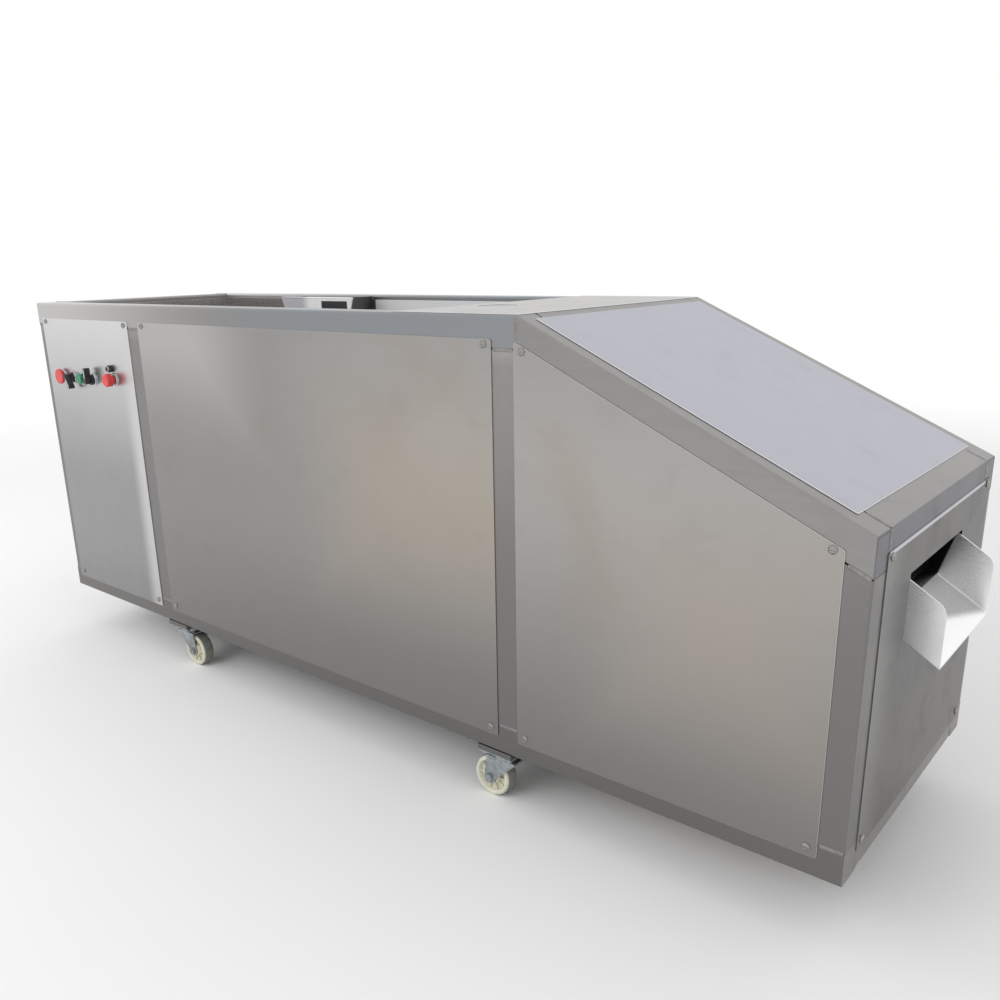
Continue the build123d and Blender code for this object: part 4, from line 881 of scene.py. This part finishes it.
class PEELER_OT_feed(bpy.types.Operator):
    """Dress the feed area and roll the open edges of its sheets"""
    bl_idname = "peeler.feed"
    bl_label = "Feed area"

    def execute(self, context):
        sizes = context.scene.peeler_edges
        for name, look in (
            ("fruit_tray", "inner"), ("trough_liners", "liner"), ("feed_hopper", "guide"),
            ("transfer_plate", "inner"),
        ):
            soften(name, sizes.sheet_round, look)
        dress("inner", "conveyor_sides", "head_plates")
        dress("belt", "conveyor_belt")
        end_gap, belt_gap, radius = 0.004, 0.075, sizes.hem_radius
        low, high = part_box("feed_hopper")
        y, z = low.y + SHEET / 2, high.z - radius
        hem = rolled_edge((low.x + end_gap, y, z), (high.x - end_gap, y, z), radius)
        finish_piece(hem, "hopper_hem", "guide", "machine", 60)
        low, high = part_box("fruit_tray")
        x, z = high.x, low.z + SHEET
        lip = rolled_edge((x, low.y + end_gap, z), (x, high.y - belt_gap, z), radius)
        finish_piece(lip, "tray_lip", "inner", "machine", 60)
        return {"FINISHED"}


class PEELER_OT_outlet(bpy.types.Operator):
    """Dress the outlet trough, the slide and the pan"""
    bl_idname = "peeler.outlet"
    bl_label = "Outlet"

    def execute(self, context):
        soften("outlet_trough", context.scene.peeler_edges.sheet_round, "trough")
        dress("slide", "discharge_slide")
        dress("inner", "peel_pan")
        return {"FINISHED"}


class PEELER_OT_wheels(bpy.types.Operator):
    """Model the nylon wheels with their ribs and red hubs"""
    bl_idname = "peeler.wheels"
    bl_label = "Wheels"

    def execute(self, context):
        sizes = context.scene.peeler_wheels
        bore, rim = 0.0052, sizes.hub_radius
        for name in WHEELS:
            low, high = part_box(name)
            middle = (low + high) / 2
            radius, half = (high.z - low.z) / 2, (high.y - low.y) / 2
            tyre = self.tyre(radius, half, sizes)
            place_at(tyre, middle, ACROSS, ALONG)
            finish_piece(tyre, f"{name}_tyre", ("nylon", "tread"), name, 40)
            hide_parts(name)
            hub = turned([(bore, -half), (rim, -half), (rim, half), (bore, half)], 32)
            place_at(hub, middle, ACROSS, ALONG)
            finish_piece(hub, f"{name}_hub", "hub", name, 40)
        return {"FINISHED"}

    def tyre(self, radius, half, sizes):
        """Nylon wheel about Z, with a crowned tread, a recessed web and radial ribs."""
        hub, boss, web, rim = sizes.hub_radius + 0.0001, 0.0150, 0.0060, radius - 0.0085
        face, tread, crown = half - 0.0006, half - 0.0010, 0.0012
        side = [
            (hub, face), (boss - 0.0008, face), (boss, face - 0.0010), (boss + 0.0010, web),
            (rim - 0.0016, web), (rim, tread - 0.0022), (rim + 0.0014, tread - 0.0004),
            (radius - 0.0058, tread), (radius - 0.0028, tread - crown), (radius - 0.0009, tread - 0.0042),
            (radius, tread - 0.0085),
        ]
        wheel = turned(side + [(r, -z) for r, z in reversed(side)], 56)
        length, depth = rim - boss + 0.0010, tread - 0.0046 - web
        ribs = []
        for index in range(sizes.rib_count):
            turn = Matrix.Rotation(2 * math.pi * index / sizes.rib_count, 4, "Z")
            for way in (1, -1):
                rib = bar((length, sizes.rib_thickness, depth), (0, 0, 0), 0.0005)
                shift = Vector((boss + length / 2 - 0.0005, 0, way * (web + depth / 2)))
                rib.matrix_world = turn @ Matrix.Translation(shift)
                ribs.append(settle(rib))
        whole = joined([wheel] + ribs)
        for face in whole.data.polygons:
            face.material_index = int(Vector(face.center[:2]).length > radius - crown)
        return whole


class PEELER_OT_casters(bpy.types.Operator):
    """Round the pressed forks and plates and add the plate bolts"""
    bl_idname = "peeler.casters"
    bl_label = "Casters"

    def execute(self, context):
        width = context.scene.peeler_edges.fork_round
        for name in FORKS:
            soften(name, width, "zinc")
        soften("caster_plates", width / 2, "zinc")
        reach, plate = 0.027, 0.003
        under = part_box("caster_plates")[1].z - plate
        bolts = []
        for name in FORKS:
            low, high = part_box(name)
            middle = Vector((self.swivel_x(low, high), (low.y + high.y) / 2, under))
            for x in (-reach, reach):
                for y in (-reach, reach):
                    bolts += self.bolt(middle + Vector((x, y, 0)))
        finish_piece(joined(bolts), "caster_bolts", "zinc", "machine", 30)
        return {"FINISHED"}

    def bolt(self, place):
        """Six-sided head and its washer, below a place on a plate's underside."""
        radius, height, rounding = 0.0058, 0.0042, 0.0005
        bore, rim, thickness = 0.0030, 0.0066, 0.0010
        deselect()
        bpy.ops.mesh.primitive_cylinder_add(vertices=6, radius=radius, depth=height)
        head = bpy.context.object
        round_edges(rounding)
        washer = turned([(bore, 0), (rim, 0), (rim, thickness), (bore, thickness)], 20)
        washer.location = place - Vector((0, 0, thickness))
        head.location = place - Vector((0, 0, thickness + height / 2))
        return [settle(head), settle(washer)]

    def swivel_x(self, low, high):
        """Place of the swivel: the crown reaches equally far on both sides of it."""
        crown_half = 0.031
        towards_left = (low.x + high.x) / 2 < (LEFT + RIGHT) / 2
        return low.x + crown_half if towards_left else high.x - crown_half


class PEELER_OT_controls(bpy.types.Operator):
    """Dress the controls and add their inlays"""
    bl_idname = "peeler.controls"
    bl_label = "Controls"

    def execute(self, context):
        for name, width, look in (
            ("control_bezels", 0.0003, "bezel"), ("red_button", 0.0004, "red"),
            ("stop_button", 0.0004, "red"), ("green_button", 0.0004, "green"),
            ("indicator_lamp", 0.0003, "black"),
        ):
            soften(name, width, look)
        dress("black", "switch_bodies", "cable_gland")
        self.lens()
        for name, turn in (("left_selector", 150.0), ("right_selector", 0.0)):
            soften(name, 0.0006, "black")
            self.inlay(name, turn)
        return {"FINISHED"}

    def lens(self):
        """Domed cover over the lamp's lens."""
        low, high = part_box("indicator_lamp")
        radius, height = 0.0062, 0.0030
        middle = ((low.x + high.x) / 2, low.y + height, (low.z + high.z) / 2)
        steps = ((1.0, 0.0), (1.0, 0.30), (0.95, 0.62), (0.80, 0.86), (0.53, 0.97), (0.19, 1.0))
        dome = turned([(radius * across, height * up) for across, up in steps], 32, closed=False)
        place_at(dome, middle, (0, -1, 0))
        finish_piece(dome, "lamp_lens", "lens", "machine", 60)

    def inlay(self, name, turn):
        """Pale line along the front of a lever."""
        width, depth, length, from_axis, sunk = 0.0026, 0.0005, 0.020, 0.0145, 0.00005
        stripe = bar((width, depth, length), (0, 0, from_axis), 0.0001, 1)
        joint = next(j for j in frame["joints"] if j["child"] == name)
        x, _, z = joint["pos_m"]
        middle = Matrix.Translation((x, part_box(name)[0].y + sunk, z))
        stripe.matrix_world = middle @ Matrix.Rotation(math.radians(turn), 4, "Y")
        settle(stripe)
        finish_piece(stripe, f"{name}_inlay", "ivory", name, 30)


class PEELER_OT_drive(bpy.types.Operator):
    """Dress the drive, rollers and electrical parts"""
    bl_idname = "peeler.drive"
    bl_label = "Drive and rollers"

    def execute(self, context):
        dress("motor", "gearmotor")
        dress("inner", "motor_base")
        dress(
            "machined", "tail_drum", "head_drum", "lower_feed_roller", "upper_feed_roller",
            "lower_peel_roller", "upper_peel_roller", "drive_sprocket", "drive_chains", "shaft_bearings",
        )
        dress("knife", "slitting_knives")
        dress("cabinet", "electrical_box")
        dress("device", "switchgear")
        return {"FINISHED"}


class PEELER_OT_stage(bpy.types.Operator):
    """Make the floor, the background, the lamps and the camera"""
    bl_idname = "peeler.stage"
    bl_label = "Stage"

    def execute(self, context):
        settings = context.scene.peeler_stage
        self.floor(settings)
        self.background(settings)
        self.lamp("front lamp", (-0.6, -4.2, 3.0), 3.2, 2.2, settings.key, (0.0, 0.0, 0.4))
        self.lamp("feed end lamp", (-3.8, -2.6, 2.6), 2.6, 2.4, settings.side, (-0.8, -0.2, 0.5))
        self.camera(settings)
        context.scene.view_settings.view_transform = "Standard"
        return {"FINISHED"}

    def floor(self, settings):
        """Large pale floor that fades into the white background."""
        size, fade_start, fade_end = 60, 2.4, 5.0
        deselect()
        bpy.ops.mesh.primitive_grid_add(x_subdivisions=24, y_subdivisions=24, size=size, location=(0, 0, 0))
        floor = settle(bpy.context.object)
        floor.name = "studio_floor"
        dull = {"Roughness": 0.9, "Specular IOR Level": 0.0}
        material, tree, shader, place = start_material("pale studio floor", **dull)
        cloud = effect(tree, "handling marks", place, Size=0.8)
        base = blend(tree, cloud, shade(settings.floor, 1.0), shade(settings.floor, 0.985))
        feed(tree, shader, {"Base Color": base})
        distance = vector_maths(tree, "LENGTH", place, result="Value")
        rays = add(tree, "ShaderNodeLightPath")
        faded = ramp(tree, distance, fade_start, fade_end)
        seen = maths(tree, "MULTIPLY", faded, (rays, "Is Camera Ray"))
        clear = add(tree, "ShaderNodeBsdfTransparent")
        mix = add(tree, "ShaderNodeMixShader", {"Fac": seen, 1: (shader, "BSDF"), 2: (clear, "BSDF")})
        output = next(node for node in tree.nodes if node.type == "OUTPUT_MATERIAL")
        feed(tree, output, {"Surface": (mix, "Shader")})
        floor.data.materials.append(material)

    def background(self, settings):
        """White where it is seen directly or reflected, and a softer sky that lights the machine."""
        world = bpy.data.worlds.new("soft studio sky")
        bpy.context.scene.world = world
        world.use_nodes = True
        tree = world.node_tree
        tree.nodes.clear()
        sky = add(tree, "ShaderNodeBackground", {"Color": (1, 1, 1, 1), "Strength": settings.sky})
        white = add(tree, "ShaderNodeBackground", {"Color": (1, 1, 1, 1), "Strength": 1.0})
        rays = add(tree, "ShaderNodeLightPath")
        seen = maths(tree, "MAXIMUM", (rays, "Is Camera Ray"), (rays, "Is Glossy Ray"))
        seen = maths(tree, "MAXIMUM", seen, (rays, "Is Transmission Ray"))
        skies = {"Fac": seen, 1: (sky, "Background"), 2: (white, "Background")}
        mix = add(tree, "ShaderNodeMixShader", skies)
        add(tree, "ShaderNodeOutputWorld", {"Surface": (mix, "Shader")})

    def lamp(self, name, place, width, height, power, target):
        """Large soft lamp that faces a point."""
        deselect()
        bpy.ops.object.light_add(type="AREA", location=place)
        lamp = bpy.context.object
        lamp.name = name
        lamp.data.shape = "RECTANGLE"
        lamp.data.size, lamp.data.size_y = width, height
        lamp.data.energy = power
        lamp.visible_camera = False
        lamp.visible_glossy = False
        lamp.rotation_euler = (Vector(target) - Vector(place)).to_track_quat("-Z", "Y").to_euler()

    def camera(self, settings):
        """Camera at the photograph's viewing angle."""
        deselect()
        bpy.ops.object.camera_add()
        camera = bpy.context.object
        camera.name = "camera"
        camera.data.sensor_width = 36.0
        camera.data.lens = settings.lens
        camera.data.shift_x, camera.data.shift_y = settings.shift
        a, e, r = settings.azimuth, settings.elevation, settings.roll
        back = Vector((math.sin(a) * math.cos(e), -math.cos(a) * math.cos(e), math.sin(e)))
        right = Vector((math.cos(a), math.sin(a), 0))
        up = back.cross(right)
        across = right * math.cos(r) + up * math.sin(r)
        upward = up * math.cos(r) - right * math.sin(r)
        turn = Matrix((across, upward, back)).transposed().to_4x4()
        corner = Vector((LEFT, FRONT, TOP))
        camera.matrix_world = Matrix.Translation(corner + Vector(settings.place)) @ turn
        bpy.context.scene.camera = camera


class PEELER_PT_pieces(bpy.types.Panel):
    """Buttons for the machine's pieces"""
    bl_label = "Plantain peeling machine"
    bl_idname = "PEELER_PT_pieces"
    bl_space_type = "VIEW_3D"
    bl_region_type = "UI"
    bl_category = "Peeler"

    def draw(self, context):
        for operator in OPERATORS:
            self.layout.operator(operator.bl_idname)


GROUPS = (
    (FinishColours, "peeler_colours"), (EdgeSizes, "peeler_edges"), (WeldSizes, "peeler_welds"),
    (WheelSizes, "peeler_wheels"), (StageSettings, "peeler_stage"),
)
OPERATORS = (
    PEELER_OT_finishes, PEELER_OT_frame, PEELER_OT_welds, PEELER_OT_sheets, PEELER_OT_feed, PEELER_OT_outlet,
    PEELER_OT_wheels, PEELER_OT_casters, PEELER_OT_controls, PEELER_OT_drive, PEELER_OT_stage,
)


def register():
    for group, name in GROUPS:
        bpy.utils.register_class(group)
        setattr(bpy.types.Scene, name, PointerProperty(type=group))
    for operator in OPERATORS:
        bpy.utils.register_class(operator)
    bpy.utils.register_class(PEELER_PT_pieces)


def unregister():
    bpy.utils.unregister_class(PEELER_PT_pieces)
    for operator in reversed(OPERATORS):
        bpy.utils.unregister_class(operator)
    for group, name in reversed(GROUPS):
        delattr(bpy.types.Scene, name)
        bpy.utils.unregister_class(group)


def main():
    """Make every piece in order."""
    register()
    for operator in OPERATORS:
        section, name = operator.bl_idname.split(".")
        getattr(getattr(bpy.ops, section), name)()


if __name__ == "__main__":
    main()
